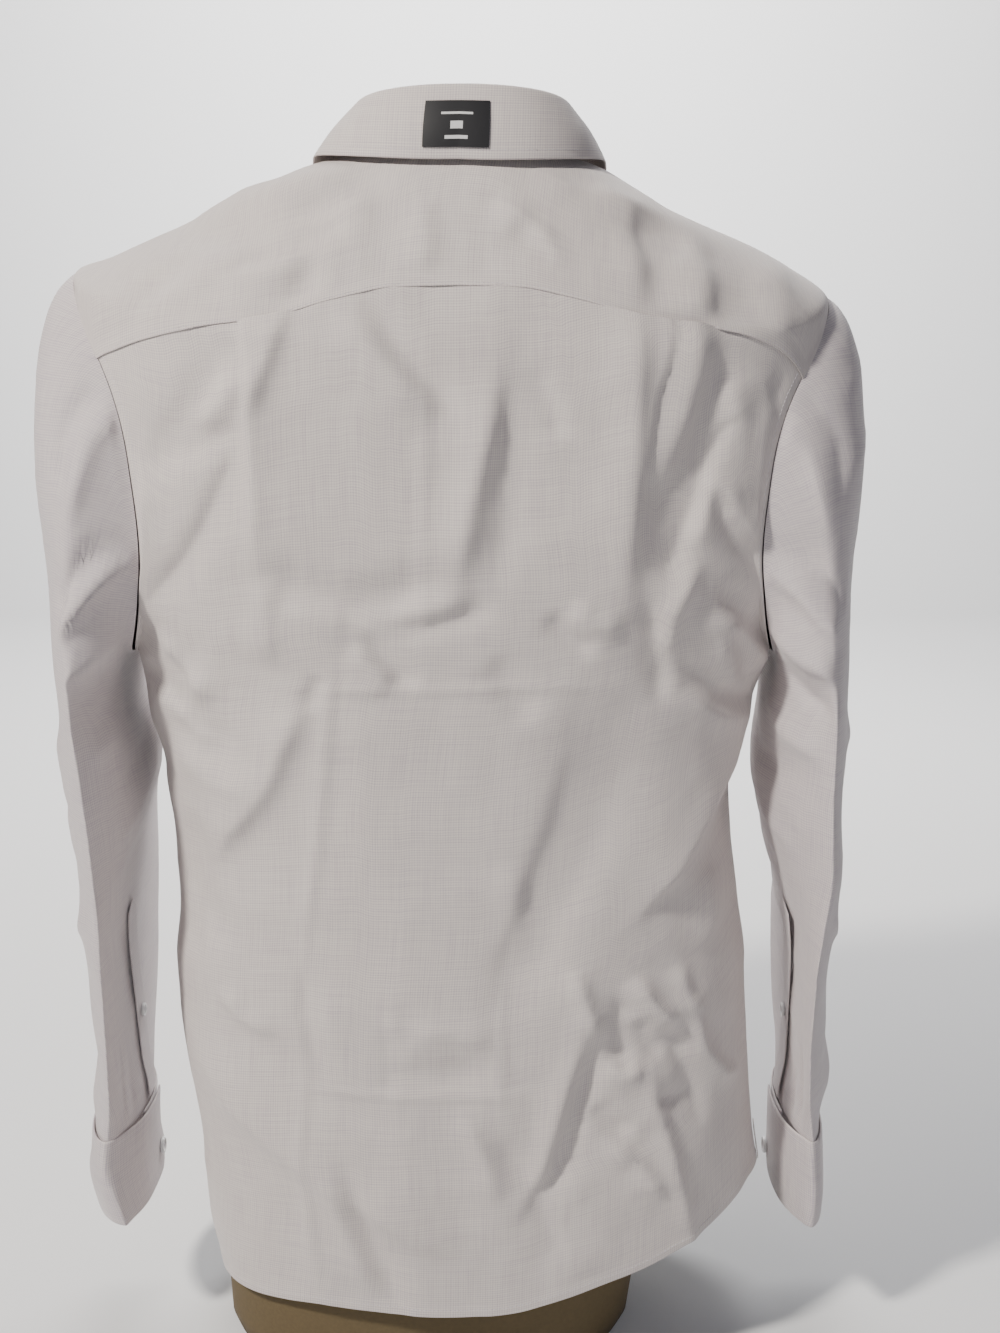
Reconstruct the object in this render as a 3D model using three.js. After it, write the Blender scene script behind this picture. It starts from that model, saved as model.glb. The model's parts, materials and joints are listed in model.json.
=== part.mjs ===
// A slim long sleeve dress shirt, size S, on a limbless dress form.
// Millimetres, +Z up. The garment's back faces -Y and its front +Y, the wearer's left is -X.
// The tables' height 0 is near the tail of the hem. The form's flat base, where the part's origin
// is, lies FORM_BASE under it, straight under the collar's middle.
//
// The body of the shirt is one surface, read by an angle round it (0 at the centre back, a quarter
// turn at the wearer's right side) and a level (the height of that ring at the sides). Each cut
// piece is a grid of points on that surface, given a wall. Sleeves and cuffs are lens-shaped tubes.
import * as THREE from "three";

// Driving sizes
const CLOTH = 1.2; // one layer of shirting, with its seam allowances
const COLLAR_CLOTH = 1.5; // two layers and an interlining
const CUFF_CLOTH = 1.8;
const SEAM = 0.25; // each piece stops this far short of its seam line
const TURN = Math.PI / 180;
const UNDERARM = 420; // levels of the armhole's lowest and highest points
const SHOULDER_TIP = 647;
const ARMHOLE_REACH = { back: 75, front: 71 }; // depth of the armhole from y = 0
const ARMHOLE_SQUARE = 2.6; // 2 would be an ellipse, higher is squarer
const NECK_LEVEL = 722;
const SLEEVE_TOP = 380; // below this height a sleeve is a plain hanging tube
const ARMHOLE_GAP = 1.1; // from the armhole to the sleeve, along X
const CUFF_TOP = 104;
const CUFF_END = 42;
const OVERLAP = 16; // each front passes the centre line by this much
const OVERLAP_LIFT = 2.3; // the left front lies over the right one
const BUTTON = { radius: 5.5, thick: 2.2 };
const FORM_BASE = 45; // how far the form goes on below the tables' height 0

const COLOUR = {
  cloth: "#cfc6c9",
  collar: "#cdc3c4",
  button: "#e9e6e3",
  label: "#17171a",
  form: "#60543a",
};

// Rings of the body: level, middle in X, half width, depth to the back and to the front, squareness
// (2 is an ellipse), how far the ring falls at the centre back and centre front, and its slope in X.
const BODY_COLUMNS = ["level", "middle", "half", "back", "front", "square", "backDrop", "frontDrop", "slope"];
const BODY_RINGS = [
  [0, 14.5, 183.5, 104, 104, 2.4, 0, 0, 0],
  [60, 11, 188, 106, 105, 2.4, 0, 0, 0],
  [95, 8, 186, 107, 105, 2.4, 0, 0, 0],
  [140, 3, 187, 107, 104, 2.4, 0, 0, 0],
  [215, -3, 188, 105, 102, 2.4, 0, 0, 0],
  [260, -4, 183, 103, 101, 2.4, 0, 0, 0],
  [300, -7, 181, 102, 101, 2.4, 0, 0, 0],
  [345, -10, 182, 102, 103, 2.4, 0, 0, 0],
  [391, -9, 194, 103, 107, 2.4, 0, 0, 0],
  [420, -7, 201, 104, 110, 2.5, 0, 2, 0],
  [470, -6, 212, 106, 113, 2.7, 0, 8, 0.005],
  [530, -6, 219, 107, 114, 2.8, 8, 20, 0.015],
  [590, -6, 226, 107, 110, 2.7, 28, 36, 0.025],
  [647, -6, 229, 106, 100, 2.6, 46, 56, 0.033],
  [661, -6, 205, 104, 95, 2.5, 42, 60, 0.017],
  [673, -6, 180, 100, 91, 2.5, 36, 62, 0.013],
  [683, -6, 155, 94, 86, 2.5, 30, 60, 0.013],
  [693, -5, 130, 87, 81, 2.5, 24, 59, 0.013],
  [707, -4, 105, 77, 74, 2.5, 18, 58, 0.013],
  [716, -2, 86, 69, 68, 2.5, 13, 57, 0.013],
  [722, 0, 66, 60, 60, 2.5, 9, 56, 0.01],
];

// Height of the hem by the angle round the body, in degrees.
const HEM = [
  [-180, 24], [-150, 27], [-125, 42], [-105, 46], [-92, 28], [-78, 6], [-69, 0.5], [-59, 1.5], [-50, 3.5],
  [-40, 6.5], [-30, 10], [-20, 9], [-8, 8.5], [2, 10], [8, 13], [17, 22], [30, 35], [40, 47], [50, 59],
  [58, 67], [66, 72], [76, 71], [83, 68], [95, 58], [108, 48], [130, 34], [155, 26], [180, 24],
];

// Height of the back yoke's seam by the distance from the centre line.
const YOKE_SEAM = [[0, 642], [45, 641], [84, 634], [117, 624], [160, 618], [200, 611]];

// Folds of the cloth: both ends in X and Z, half width, and lift (below 0 is a trough).
const BACK_FOLDS = [
  [-37, 706, -105, 671, 11, -2.4], [-105, 671, -174, 668, 12, -2.2], [-50, 700, -130, 684, 12, 1.8],
  [45, 704, 85, 685, 10, -2.2], [85, 685, 149, 655, 11, -2.6], [60, 700, 130, 676, 11, 1.8],
  [-50, 633, -10, 586, 14, -3], [-10, 586, -2, 556, 14, -3], [20, 575, 0, 483, 15, 4],
  [-121, 549, -188, 456, 18, 4], [-106, 520, -160, 440, 16, -4], [-128, 602, -175, 545, 15, 3],
  [-205, 440, -154, 402, 14, -5], [-190, 452, -150, 425, 13, 4],
  [-98, 479, -66, 464, 13, -4], [-66, 464, 0, 479, 14, -4], [-60, 492, 20, 494, 18, 4],
  [-44, 444, 1, 459, 12, -3], [-56, 449, -26, 417, 12, 3],
  [-90, 405, -140, 331, 20, 4], [-140, 331, -158, 292, 17, 4], [-118, 400, -160, 340, 15, -4],
  [-172, 189, -130, 146, 20, 5], [-130, 146, -30, 88, 20, 5], [-30, 88, 9, 65, 17, 4],
  [-73, 128, -40, 12, 11, -3.5], [-62, 110, -26, 20, 12, 3],
  [84, 407, 80, 345, 30, -6], [80, 345, 42, 290, 30, -7], [42, 290, 20, 236, 24, -6],
  [167, 366, 137, 316, 17, 6], [137, 316, 106, 273, 18, 5],
  [69, 236, 81, 198, 13, 4], [95, 218, 97, 170, 12, -4], [108, 227, 131, 199, 13, 4],
  [85, 195, 49, 84, 13, -4], [64, 190, 40, 110, 13, 4], [112, 172, 148, 40, 14, 4],
  [92, 150, 120, 100, 13, -4], [144, 196, 168, 150, 13, -4], [120, 200, 150, 165, 13, 4],
  [158, 570, 139, 523, 14, -4], [139, 523, 119, 454, 15, -4], [180, 570, 172, 500, 14, 3],
  [150, 470, 190, 430, 15, -5], [120, 440, 180, 402, 15, 4],
];
const FRONT_FOLDS = [
  [-60, 620, -120, 560, 18, -4], [55, 612, 125, 548, 18, -4], [-80, 520, -176, 440, 18, 4],
  [70, 505, 172, 432, 18, 4], [-120, 478, -170, 410, 15, -4], [108, 470, 160, 404, 15, -4],
  [-70, 420, -130, 340, 20, 5], [60, 400, 120, 318, 22, -5], [-150, 330, -60, 270, 20, -5],
  [150, 350, 80, 282, 18, 5], [-120, 240, -60, 150, 18, 5], [48, 250, 110, 170, 18, 5],
  [-40, 180, -80, 70, 16, -4], [130, 180, 90, 90, 16, -4], [35, 120, 60, 40, 14, 4],
];
const PLEAT = { place: 0.46, lift: 2.4, width: 0.14, from: 470, full: 590 };

// Sleeves, by height: outer and inner face, the pressed creases' X, and their depth back and front.
const SLEEVE_COLUMNS = ["height", "outer", "inner", "crease", "back", "front"];
const SLEEVES = {
  left: [
    [380, -256, -213, -230, 93, 90], [350, -255, -203, -227, 92, 88], [320, -253, -207, -225, 90, 86],
    [290, -251, -213, -224, 87, 84], [260, -250, -218, -223, 84, 80], [220, -248, -221, -224, 80, 76],
    [180, -248, -221, -225, 74, 71], [140, -248, -221, -227, 67, 64], [118, -248, -219, -230, 60, 58],
    [104, -249, -219, -232, 57.5, 55.5],
  ],
  right: [
    [380, 243, 192, 222, 93, 90], [350, 244, 189, 222, 92, 88], [320, 244, 193, 223, 90, 86],
    [290, 243, 199, 224, 87, 84], [260, 243, 208, 222, 84, 80], [220, 242, 215, 219, 80, 76],
    [180, 240, 217, 219, 74, 71], [140, 240, 218, 221, 67, 64], [118, 238, 216, 224, 60, 58],
    [104, 237, 215, 226, 57.5, 55.5],
  ],
};
const CUFFS = {
  left: [[104, -251, -217, -233, 59, 57], [84, -253, -218, -234, 60, 58], [69, -256, -218, -230, 59, 57], [42, -252, -217, -223, 56, 55]],
  right: [[104, 239, 213, 226, 59, 57], [84, 241, 213, 227, 60, 58], [58, 242, 213, 228, 60, 58], [42, 241, 214, 228, 58, 56]],
};
const CREASE_SHARP = { sleeve: 1.7, cuff: 1.25 }; // 1 is a round edge, 2 a knife edge
const FLAT_FROM = 150; // above this height a sleeve has its full crease, and below it turns to the cuff's
const SLEEVE_MIDDLE = 225; // X that a sleeve's folds swell away from

// Broad dents and swells of the sleeves: height, angle round the sleeve, half height, half angle, lift.
const SLEEVE_FOLDS = {
  left: [[560, 60, 30, 25, 4], [480, 40, 34, 22, -4], [430, 120, 22, 30, 5], [352, 150, 20, 40, -3],
    [330, 30, 26, 30, 4], [285, 340, 24, 30, -4], [300, 215, 22, 28, -3], [240, 60, 26, 26, 3],
    [190, 300, 24, 30, 4], [150, 30, 18, 24, -3], [420, 300, 30, 34, 4]],
  right: [[548, 50, 30, 26, 4], [478, 36, 34, 24, -4], [436, 130, 22, 30, 6], [352, 150, 18, 34, -4],
    [322, 20, 26, 30, -4], [292, 60, 24, 26, 4], [250, 330, 24, 30, 4], [210, 40, 26, 26, -3],
    [170, 310, 22, 30, -4], [140, 30, 18, 24, 3], [430, 300, 30, 34, 4]],
};

// The form inside the cloth, below its shoulders, with the columns of BODY_COLUMNS.
const FORM_RINGS = [
  [-FORM_BASE, -26, 138, 90, 88, 2.3, 0, 0, 0],
  [0, -24, 142, 92, 90, 2.3, 0, 0, 0],
  [60, -18, 147, 94, 92, 2.3, 0, 0, 0],
  [140, -12, 152, 95, 90, 2.3, 0, 0, 0],
  [240, -9, 149, 89, 84, 2.3, 0, 0, 0],
  [330, -8, 144, 85, 84, 2.3, 0, 0, 0],
  [420, -6, 164, 92, 96, 2.4, 0, 2, 0],
  [500, -6, 182, 99, 104, 2.6, 4, 12, 0.01],
  [580, -6, 194, 101, 103, 2.6, 24, 33, 0.015],
  [640, -6, 201, 100, 96, 2.6, 40, 52, 0.02],
];
const FORM_GAP = { ridge: 2.1, more: 5.5 }; // under the shoulder ridge, and added away from it
const FORM_NECK = { half: 52, back: 45, front: 46, top: 716, cap: 5 };

// Reads a table between its rows by a smooth curve that doesn't overshoot them.
function readTable(table, at) {
  const last = table.length - 1;
  let k = 0;
  while (k < last - 1 && at > table[k + 1][0]) k += 1;
  const step = (n) => table[n + 1][0] - table[n][0];
  const rise = (n, c) => (table[n + 1][c] - table[n][c]) / step(n);
  const slope = (n, c) => {
    if (n === 0) return rise(0, c);
    if (n === last) return rise(last - 1, c);
    const [a, b] = [rise(n - 1, c), rise(n, c)];
    return a * b <= 0 ? 0 : (2 * a * b) / (a + b);
  };
  const t = THREE.MathUtils.clamp((at - table[k][0]) / step(k), 0, 1);
  return table[k].map((value, c) => {
    const [a, b] = [slope(k, c) * step(k), slope(k + 1, c) * step(k)];
    const away = table[k + 1][c] - value;
    return value + t * (a + t * (3 * away - 2 * a - b + t * (a + b - 2 * away)));
  });
}

// A table that falls from its first row to its last, read by height.
const readDown = (table, at) => readTable([...table].reverse(), at);

const named = (columns, row) => Object.fromEntries(columns.map((name, c) => [name, row[c]]));
const mix = THREE.MathUtils.lerp;
const smooth = (at, from, to) => THREE.MathUtils.smoothstep(at, from, to);
const sleeveSharp = (height) =>
  mix(CREASE_SHARP.cuff, CREASE_SHARP.sleeve, THREE.MathUtils.clamp((height - CUFF_TOP) / (FLAT_FROM - CUFF_TOP), 0, 1));

// The point of a ring of the body, or of the form, at an angle round it.
function ringPoint(rings, angle, level) {
  const r = named(BODY_COLUMNS, readTable(rings, level));
  const [s, c] = [Math.sin(angle), Math.cos(angle)];
  const round = (Math.abs(s) ** r.square + Math.abs(c) ** r.square) ** (-1 / r.square);
  const x = r.half * s * round;
  const y = (c > 0 ? -r.back : -r.front) * c * round;
  const drop = (c > 0 ? r.backDrop : r.frontDrop) * Math.abs(c) ** 1.5;
  return new THREE.Vector3(r.middle + x, y, level - drop - r.slope * x);
}
const bodyPoint = (angle, level) => ringPoint(BODY_RINGS, angle, level);

// The way out of a surface that is given by two numbers.
function outward(surface, u, v, du, dv) {
  const across = surface(u + du, v).sub(surface(u - du, v));
  const up = surface(u, v + dv).sub(surface(u, v - dv));
  return across.cross(up).normalize();
}
function bodyOut(angle, level) {
  const at = Math.min(level, NECK_LEVEL - 1);
  return outward(bodyPoint, angle, at, 0.02, 1);
}

// The angle at which a ring reaches a distance from the centre line, or a depth.
function angleAtDepth(level, depth, back) {
  const r = named(BODY_COLUMNS, readTable(BODY_RINGS, level));
  const part = Math.min(depth / (back ? r.back : r.front), 1);
  const side = (1 - part ** r.square) ** (1 / r.square);
  return Math.atan2(side, back ? part : -part);
}
function angleAtCentre(level, distance) {
  const r = named(BODY_COLUMNS, readTable(BODY_RINGS, level));
  return Math.PI - Math.atan2(distance / r.half, 1);
}

// The level at which the surface has a height, at one angle.
function levelAtHeight(angle, height) {
  let [low, high] = [height - 5, NECK_LEVEL];
  for (let n = 0; n < 30; n += 1) {
    const middle = (low + high) / 2;
    if (bodyPoint(angle, middle).z < height) low = middle;
    else high = middle;
  }
  return (low + high) / 2;
}

// The armhole, by an angle round it: 0 at the shoulder, 90 at the back, 180 under the arm.
const ARMHOLE_BACK = [162, 143, 124, 106, 90, 77, 64, 52];
const ARMHOLE_TOP = [34, 17, 0, -17, -34];
const ARMHOLE_FRONT = [...ARMHOLE_BACK, 34].map((a) => -a);
const power = (value) => Math.sign(value) * Math.abs(value) ** (2 / ARMHOLE_SQUARE);
function armholeLevel(degrees) {
  const half = (SHOULDER_TIP - UNDERARM) / 2;
  return UNDERARM + half + half * power(Math.cos(degrees * TURN));
}
function armholeAngle(degrees) {
  const back = degrees >= 0;
  const depth = Math.abs(power(Math.sin(degrees * TURN))) * ARMHOLE_REACH[back ? "back" : "front"];
  return angleAtDepth(armholeLevel(degrees), depth, back);
}

// Side seams, turned a little toward the wearer's left as they fall.
const SEAM_TWIST = { left: 15 * TURN, right: 8 * TURN };
function sideSeam(side, level) {
  const turned = SEAM_TWIST[side] * (1 - Math.min(level, UNDERARM) / UNDERARM);
  return side === "right" ? Math.PI / 2 - turned : -Math.PI / 2 - turned;
}

// The lift of the folds at a point of the cloth.
function foldLift(folds, x, z) {
  return folds.reduce((sum, [x0, z0, x1, z1, half, lift]) => {
    const [dx, dz] = [x1 - x0, z1 - z0];
    const along = THREE.MathUtils.clamp(((x - x0) * dx + (z - z0) * dz) / (dx * dx + dz * dz), 0, 1);
    const away = Math.hypot(x - x0 - along * dx, z - z0 - along * dz) / half;
    return sum + lift * Math.exp(-away * away);
  }, 0);
}

// A wall of one thickness on a grid of points, rows going up and columns going round. The sides of
// the grid are closed, and a closed grid's last column meets its first.
function wall(rows, thick, closed = false) {
  const [rowCount, colCount] = [rows.length, rows[0].length];
  const at = (j, i) => rows[j][closed ? (i + colCount) % colCount : i];
  const positions = [];
  const place = (j, i, lift) => {
    const [i0, i1] = closed ? [i - 1, i + 1] : [Math.max(i - 1, 0), Math.min(i + 1, colCount - 1)];
    const across = at(j, i1).clone().sub(at(j, i0));
    const up = at(Math.min(j + 1, rowCount - 1), i).clone().sub(at(Math.max(j - 1, 0), i));
    const out = across.cross(up).normalize();
    positions.push(...at(j, i).clone().addScaledVector(out, lift).toArray());
  };
  for (const lift of [thick / 2, -thick / 2])
    for (let j = 0; j < rowCount; j += 1) for (let i = 0; i < colCount; i += 1) place(j, i, lift);
  const size = rowCount * colCount;
  const outer = (j, i) => j * colCount + (closed ? i % colCount : i);
  const inner = (j, i) => size + outer(j, i);
  const faces = [];
  const quad = (a, b, c, d) => faces.push(a, b, c, a, c, d);
  const spans = closed ? colCount : colCount - 1;
  for (let j = 0; j < rowCount - 1; j += 1)
    for (let i = 0; i < spans; i += 1) {
      quad(outer(j, i), outer(j, i + 1), outer(j + 1, i + 1), outer(j + 1, i));
      quad(inner(j, i), inner(j + 1, i), inner(j + 1, i + 1), inner(j, i + 1));
    }
  const top = rowCount - 1;
  for (let i = 0; i < spans; i += 1) {
    quad(outer(0, i + 1), outer(0, i), inner(0, i), inner(0, i + 1));
    quad(outer(top, i), outer(top, i + 1), inner(top, i + 1), inner(top, i));
  }
  if (!closed)
    for (let j = 0; j < top; j += 1) {
      quad(outer(j, 0), outer(j + 1, 0), inner(j + 1, 0), inner(j, 0));
      quad(outer(j + 1, spans), outer(j, spans), inner(j, spans), inner(j + 1, spans));
    }
  return indexed(positions, faces);
}

function indexed(positions, faces) {
  const geometry = new THREE.BufferGeometry();
  geometry.setAttribute("position", new THREE.Float32BufferAttribute(positions, 3));
  geometry.setIndex(faces);
  return geometry;
}

// A solid between stacked closed rings, with a flat fan at each end.
function stack(rows) {
  const count = rows[0].length;
  const middle = (row) => row.reduce((sum, p) => sum.add(p), new THREE.Vector3()).divideScalar(count);
  const positions = [...rows.flat(), middle(rows[0]), middle(rows.at(-1))].flatMap((p) => p.toArray());
  const faces = [];
  const at = (j, i) => j * count + (i % count);
  const top = rows.length - 1;
  for (let i = 0; i < count; i += 1) {
    for (let j = 0; j < top; j += 1)
      faces.push(at(j, i), at(j, i + 1), at(j + 1, i + 1), at(j, i), at(j + 1, i + 1), at(j + 1, i));
    faces.push(rows.length * count, at(0, i + 1), at(0, i));
    faces.push(rows.length * count + 1, at(top, i), at(top, i + 1));
  }
  return indexed(positions, faces);
}

// Pulls the sides of a grid back from their seams.
function trim(rows, by) {
  const pull = (from, to, much) => from.addScaledVector(to.clone().sub(from).normalize(), much);
  const last = rows[0].length - 1;
  if (by.left) rows.forEach((row) => pull(row[0], row[1], by.left));
  if (by.right) rows.forEach((row) => pull(row[last], row[last - 1], by.right));
  if (by.bottom) rows[0].forEach((p, i) => pull(p, rows[1][i], by.bottom));
  if (by.top) rows.at(-1).forEach((p, i) => pull(p, rows.at(-2)[i], by.top));
  return rows;
}

// The levels of a panel's side: evenly up the side seam, then the armhole's own, which even out
// toward the panel's middle.
const SIDE_STEPS = 11;
const evenly = (count) => Array.from({ length: count + 1 }, (_, n) => n / count);
function panelRows(armhole, neckRows) {
  const rows = evenly(SIDE_STEPS).map((t) => ({ part: "side", t }));
  const top = armholeLevel(armhole.at(-1));
  armhole.forEach((degrees, n) => {
    const t = (armholeLevel(degrees) - UNDERARM) / (top - UNDERARM);
    rows.push({ part: "armhole", degrees, t, inner: (n + 1) / armhole.length });
  });
  for (const t of neckRows.slice(1)) rows.push({ part: "neck", t });
  return rows;
}

function hemLevel(angle) {
  const degrees = THREE.MathUtils.euclideanModulo(angle / TURN + 180, 360) - 180;
  return readTable(HEM, degrees)[1];
}

const group = new THREE.Group();
const MATERIALS = {
  cloth: { roughness: 0.85, metalness: 0 },
  collar: { roughness: 0.8, metalness: 0 },
  button: { roughness: 0.3, metalness: 0 },
  label: { roughness: 0.6, metalness: 0 },
  form: { roughness: 0.9, metalness: 0 },
};
function add(name, geometry, look) {
  const material = new THREE.MeshStandardMaterial({ color: COLOUR[look], ...MATERIALS[look] });
  const mesh = new THREE.Mesh(geometry, material);
  mesh.name = name;
  mesh.position.z = FORM_BASE;
  group.add(mesh);
  return mesh;
}

// How a panel's columns draw in from the side seam's line to the armhole: near the underarm only the
// outer ones do, and higher up all of them.
function armholeInset(reach, across, t) {
  const shift = 1 - reach / (Math.PI / 2);
  const curve = mix(Math.min(0.9 / shift, 8), 1.5, t);
  return 1 - shift * across ** (curve - 1);
}

// The yoke's back seam, by the place across it: its angle and its level.
const YOKE_CORNER = ARMHOLE_BACK.at(-1);
function yokeSeam(across) {
  const corner = armholeLevel(YOKE_CORNER);
  const angle = (Math.PI / 2) * across * armholeInset(armholeAngle(YOKE_CORNER), Math.abs(across), 1);
  const height = readTable(YOKE_SEAM, Math.abs(bodyPoint(angle, corner).x))[1];
  return { angle, level: mix(levelAtHeight(angle, height), corner, across ** 8) };
}

// Back panel, from the hem to the yoke's seam, with a pressed pleat under each end of the yoke.
function backPoint(across, row) {
  let level;
  let edges;
  let inset = 1;
  if (row.part === "side") {
    const turn = mix(sideSeam("left", 60), sideSeam("right", 60), (across + 1) / 2);
    level = mix(hemLevel(turn), UNDERARM, row.t);
    edges = [sideSeam("left", level), sideSeam("right", level)];
  } else {
    const reach = armholeAngle(row.degrees);
    const part = mix(row.t, row.inner, smooth(1 - Math.abs(across), 0, 0.5));
    level = mix(UNDERARM, yokeSeam(across).level, part);
    edges = [-Math.PI / 2, Math.PI / 2];
    inset = armholeInset(reach, Math.abs(across), row.t);
  }
  const angle = mix(edges[0], edges[1], (across + 1) / 2) * inset;
  const point = bodyPoint(angle, level);
  const inside = smooth(1 - Math.abs(across), 0.03, 0.2);
  const from = PLEAT.place - Math.abs(across);
  const ledge = from < -0.001 ? 0 : Math.exp(-((from / PLEAT.width) ** 2));
  const pleat = PLEAT.lift * ledge * smooth(level, PLEAT.from, PLEAT.full);
  const lift = inside * foldLift(BACK_FOLDS, point.x, point.z) + pleat;
  return point.addScaledVector(bodyOut(angle, level), lift);
}

function backPanel() {
  const steps = 24;
  const even = evenly(steps).map((t) => 2 * t - 1).filter((s) => Math.abs(Math.abs(s) - PLEAT.place) > 0.04);
  const ledges = [PLEAT.place, PLEAT.place + 0.014].flatMap((s) => [s, -s]);
  const columns = [...even, ...ledges].sort((a, b) => a - b);
  const rows = panelRows(ARMHOLE_BACK, []).map((row) => columns.map((s) => backPoint(s, row)));
  return { rows: trim(rows, { left: SEAM + 0.1, right: SEAM + 0.1, top: SEAM }), columns };
}

// The yoke: across the back, over both shoulders and down to a seam on each front. Its rows are
// given as parts of the way from its outer edge to the neck, closer where the shoulder turns.
const YOKE_ROWS = [0, 0.08, 0.17, 0.34, 0.5, 0.67, 0.84, 1];
const YOKE_FRONT = armholeAngle(-34);
const NECK_FRONT_SEAM = 124 * TURN;
function yokeEdge(columns) {
  const seam = columns.map(yokeSeam);
  const over = ARMHOLE_TOP.map((a) => ({ angle: armholeAngle(a), level: armholeLevel(a) }));
  return [...over.map((e) => ({ ...e, angle: -e.angle })).reverse(), ...seam, ...over];
}

function yoke(columns) {
  const edge = yokeEdge(columns);
  const reach = edge.map((e) => e.angle / YOKE_FRONT);
  const rows = YOKE_ROWS.map((t) =>
    edge.map((e, i) => {
      const angle = mix(e.angle, reach[i] * NECK_FRONT_SEAM, t);
      const level = mix(e.level, NECK_LEVEL, t);
      const point = bodyPoint(angle, level);
      const inside = smooth(t, 0, 0.2) * smooth(1 - t, 0, 0.15) * smooth(Math.cos(angle), 0.05, 0.45);
      return point.addScaledVector(bodyOut(angle, level), inside * foldLift(BACK_FOLDS, point.x, point.z));
    }),
  );
  return trim(rows, { left: SEAM + 0.3, right: SEAM + 0.3, bottom: SEAM + 0.25, top: SEAM });
}

// A front panel, from the side seam and armhole to just past the centre line.
function frontPoint(side, across, row) {
  const sign = side === "right" ? 1 : -1;
  const start = Math.abs(sideSeam(side, 60));
  const seamFoot = armholeLevel(ARMHOLE_FRONT.at(-1));
  let level;
  let edge;
  if (row.part === "side") {
    level = mix(hemLevel(sign * mix(start, Math.PI, across)), UNDERARM, row.t);
    edge = Math.abs(sideSeam(side, level));
  } else if (row.part === "armhole") {
    level = mix(UNDERARM, seamFoot, mix(row.t, row.inner, smooth(across, 0, 0.5)));
    edge = armholeAngle(row.degrees);
  } else {
    level = mix(seamFoot, NECK_LEVEL, row.t);
    edge = mix(YOKE_FRONT, NECK_FRONT_SEAM, row.t);
  }
  const centre = angleAtCentre(level, OVERLAP);
  const past = 2 * Math.PI - centre;
  const drawn = edge - Math.PI / 2;
  const curve = drawn > 0 ? mix(Math.min((0.9 * Math.PI) / 2 / drawn, 8), 1.5, Math.min(level / seamFoot, 1) ** 4) : 1;
  const inner = mix(Math.PI / 2, centre, across) + drawn * (1 - across) ** curve;
  const angle = across <= 1 ? inner : mix(centre, past, across - 1);
  const point = bodyPoint(sign * angle, level);
  const inside = smooth(across, 0, 0.25) * smooth(1 - across, 0, 0.2);
  const neckFade = 1 - smooth(level, 660, 700);
  const over = side === "left" ? OVERLAP_LIFT * smooth(across, 0.55, 0.95) : 0;
  const lift = inside * neckFade * foldLift(FRONT_FOLDS, point.x, point.z) + over;
  return point.addScaledVector(bodyOut(sign * angle, level), lift);
}

function frontPanel(side) {
  const columns = [...evenly(8), 1.5, 2];
  const rows = panelRows(ARMHOLE_FRONT, YOKE_ROWS).map((row) => columns.map((s) => frontPoint(side, s, row)));
  if (side === "left") rows.forEach((row) => row.reverse());
  const armSide = side === "left" ? "right" : "left";
  return trim(rows, { [armSide]: SEAM + 0.1, top: SEAM + 0.1 });
}

// The small gusset that bridges each side seam's foot, lying on both panels.
const GUSSET = { low: 3, tall: 24, halfFoot: 9, halfHead: 1.5, wall: 0.8 };
function gusset(side) {
  const foot = hemLevel(sideSeam(side, 60)) + GUSSET.low;
  return evenly(3).map((t) =>
    [-1, 0, 1].map((s) => {
      const level = foot + t * GUSSET.tall;
      const half = mix(GUSSET.halfFoot, GUSSET.halfHead, t);
      const angle = sideSeam(side, level) + (s * half) / 112;
      const lift = (CLOTH + GUSSET.wall) / 2 + 0.6;
      return bodyPoint(angle, level).addScaledVector(bodyOut(angle, level), lift);
    }),
  );
}

// Sleeves: lens-shaped rings with a pressed crease at the back and front.
const SLEEVE_ANGLES = [0, 17, 34, 52, 64, 77, 90, 106, 124, 143, 162, 180];
const ROUND = [...SLEEVE_ANGLES, ...SLEEVE_ANGLES.slice(1, -1).reverse().map((a) => -a)];
function lensPoint(table, height, degrees, sharp) {
  const r = named(SLEEVE_COLUMNS, readDown(table, height));
  const [s, c] = [Math.sin(degrees * TURN), Math.cos(degrees * TURN)];
  const face = c > 0 ? r.outer : r.inner;
  const y = s > 0 ? -r.back * s : -r.front * s;
  return new THREE.Vector3(r.crease + (face - r.crease) * Math.abs(c) ** sharp, y, height);
}

function sleeveLift(side, height, degrees) {
  return SLEEVE_FOLDS[side].reduce((sum, [z, turn, halfHeight, halfTurn, lift]) => {
    const around = THREE.MathUtils.euclideanModulo(degrees - turn + 180, 360) - 180;
    return sum + lift * Math.exp(-(((height - z) / halfHeight) ** 2) - (around / halfTurn) ** 2);
  }, 0);
}

const UNDERARM_PUSH = 1.9; // the sleeve starts this far outside the armhole's lowest point
const CAP_STEPS = [0, 0.1, 0.24, 0.4, 0.56, 0.72, 0.87, 1];
const TUBE_HEIGHTS = [355, 332, 308, 284, 256, 226, 196, 166, 138, 118, CUFF_TOP + 0.3];
function sleeveTop(side, degrees) {
  const sign = side === "right" ? 1 : -1;
  const angle = sign * armholeAngle(degrees);
  const level = armholeLevel(degrees);
  const under = (1 - Math.cos(degrees * TURN)) / 2;
  const start = bodyPoint(angle, level).addScaledVector(bodyOut(angle, level), UNDERARM_PUSH * under ** 2);
  const end = lensPoint(SLEEVES[side], SLEEVE_TOP, degrees, sleeveSharp(SLEEVE_TOP));
  const leave = new THREE.Vector3(sign * 0.9, -0.25 * Math.sin(degrees * TURN), -0.45 + 0.3 * under);
  start.addScaledVector(new THREE.Vector3(sign, 0, 0), ARMHOLE_GAP);
  const length = start.distanceTo(end);
  const arrive = lensPoint(SLEEVES[side], SLEEVE_TOP - 12, degrees, sleeveSharp(SLEEVE_TOP)).sub(end);
  return { start, end, leave: leave.setLength(length * 0.55), arrive: arrive.setLength(length * 0.95) };
}
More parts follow.
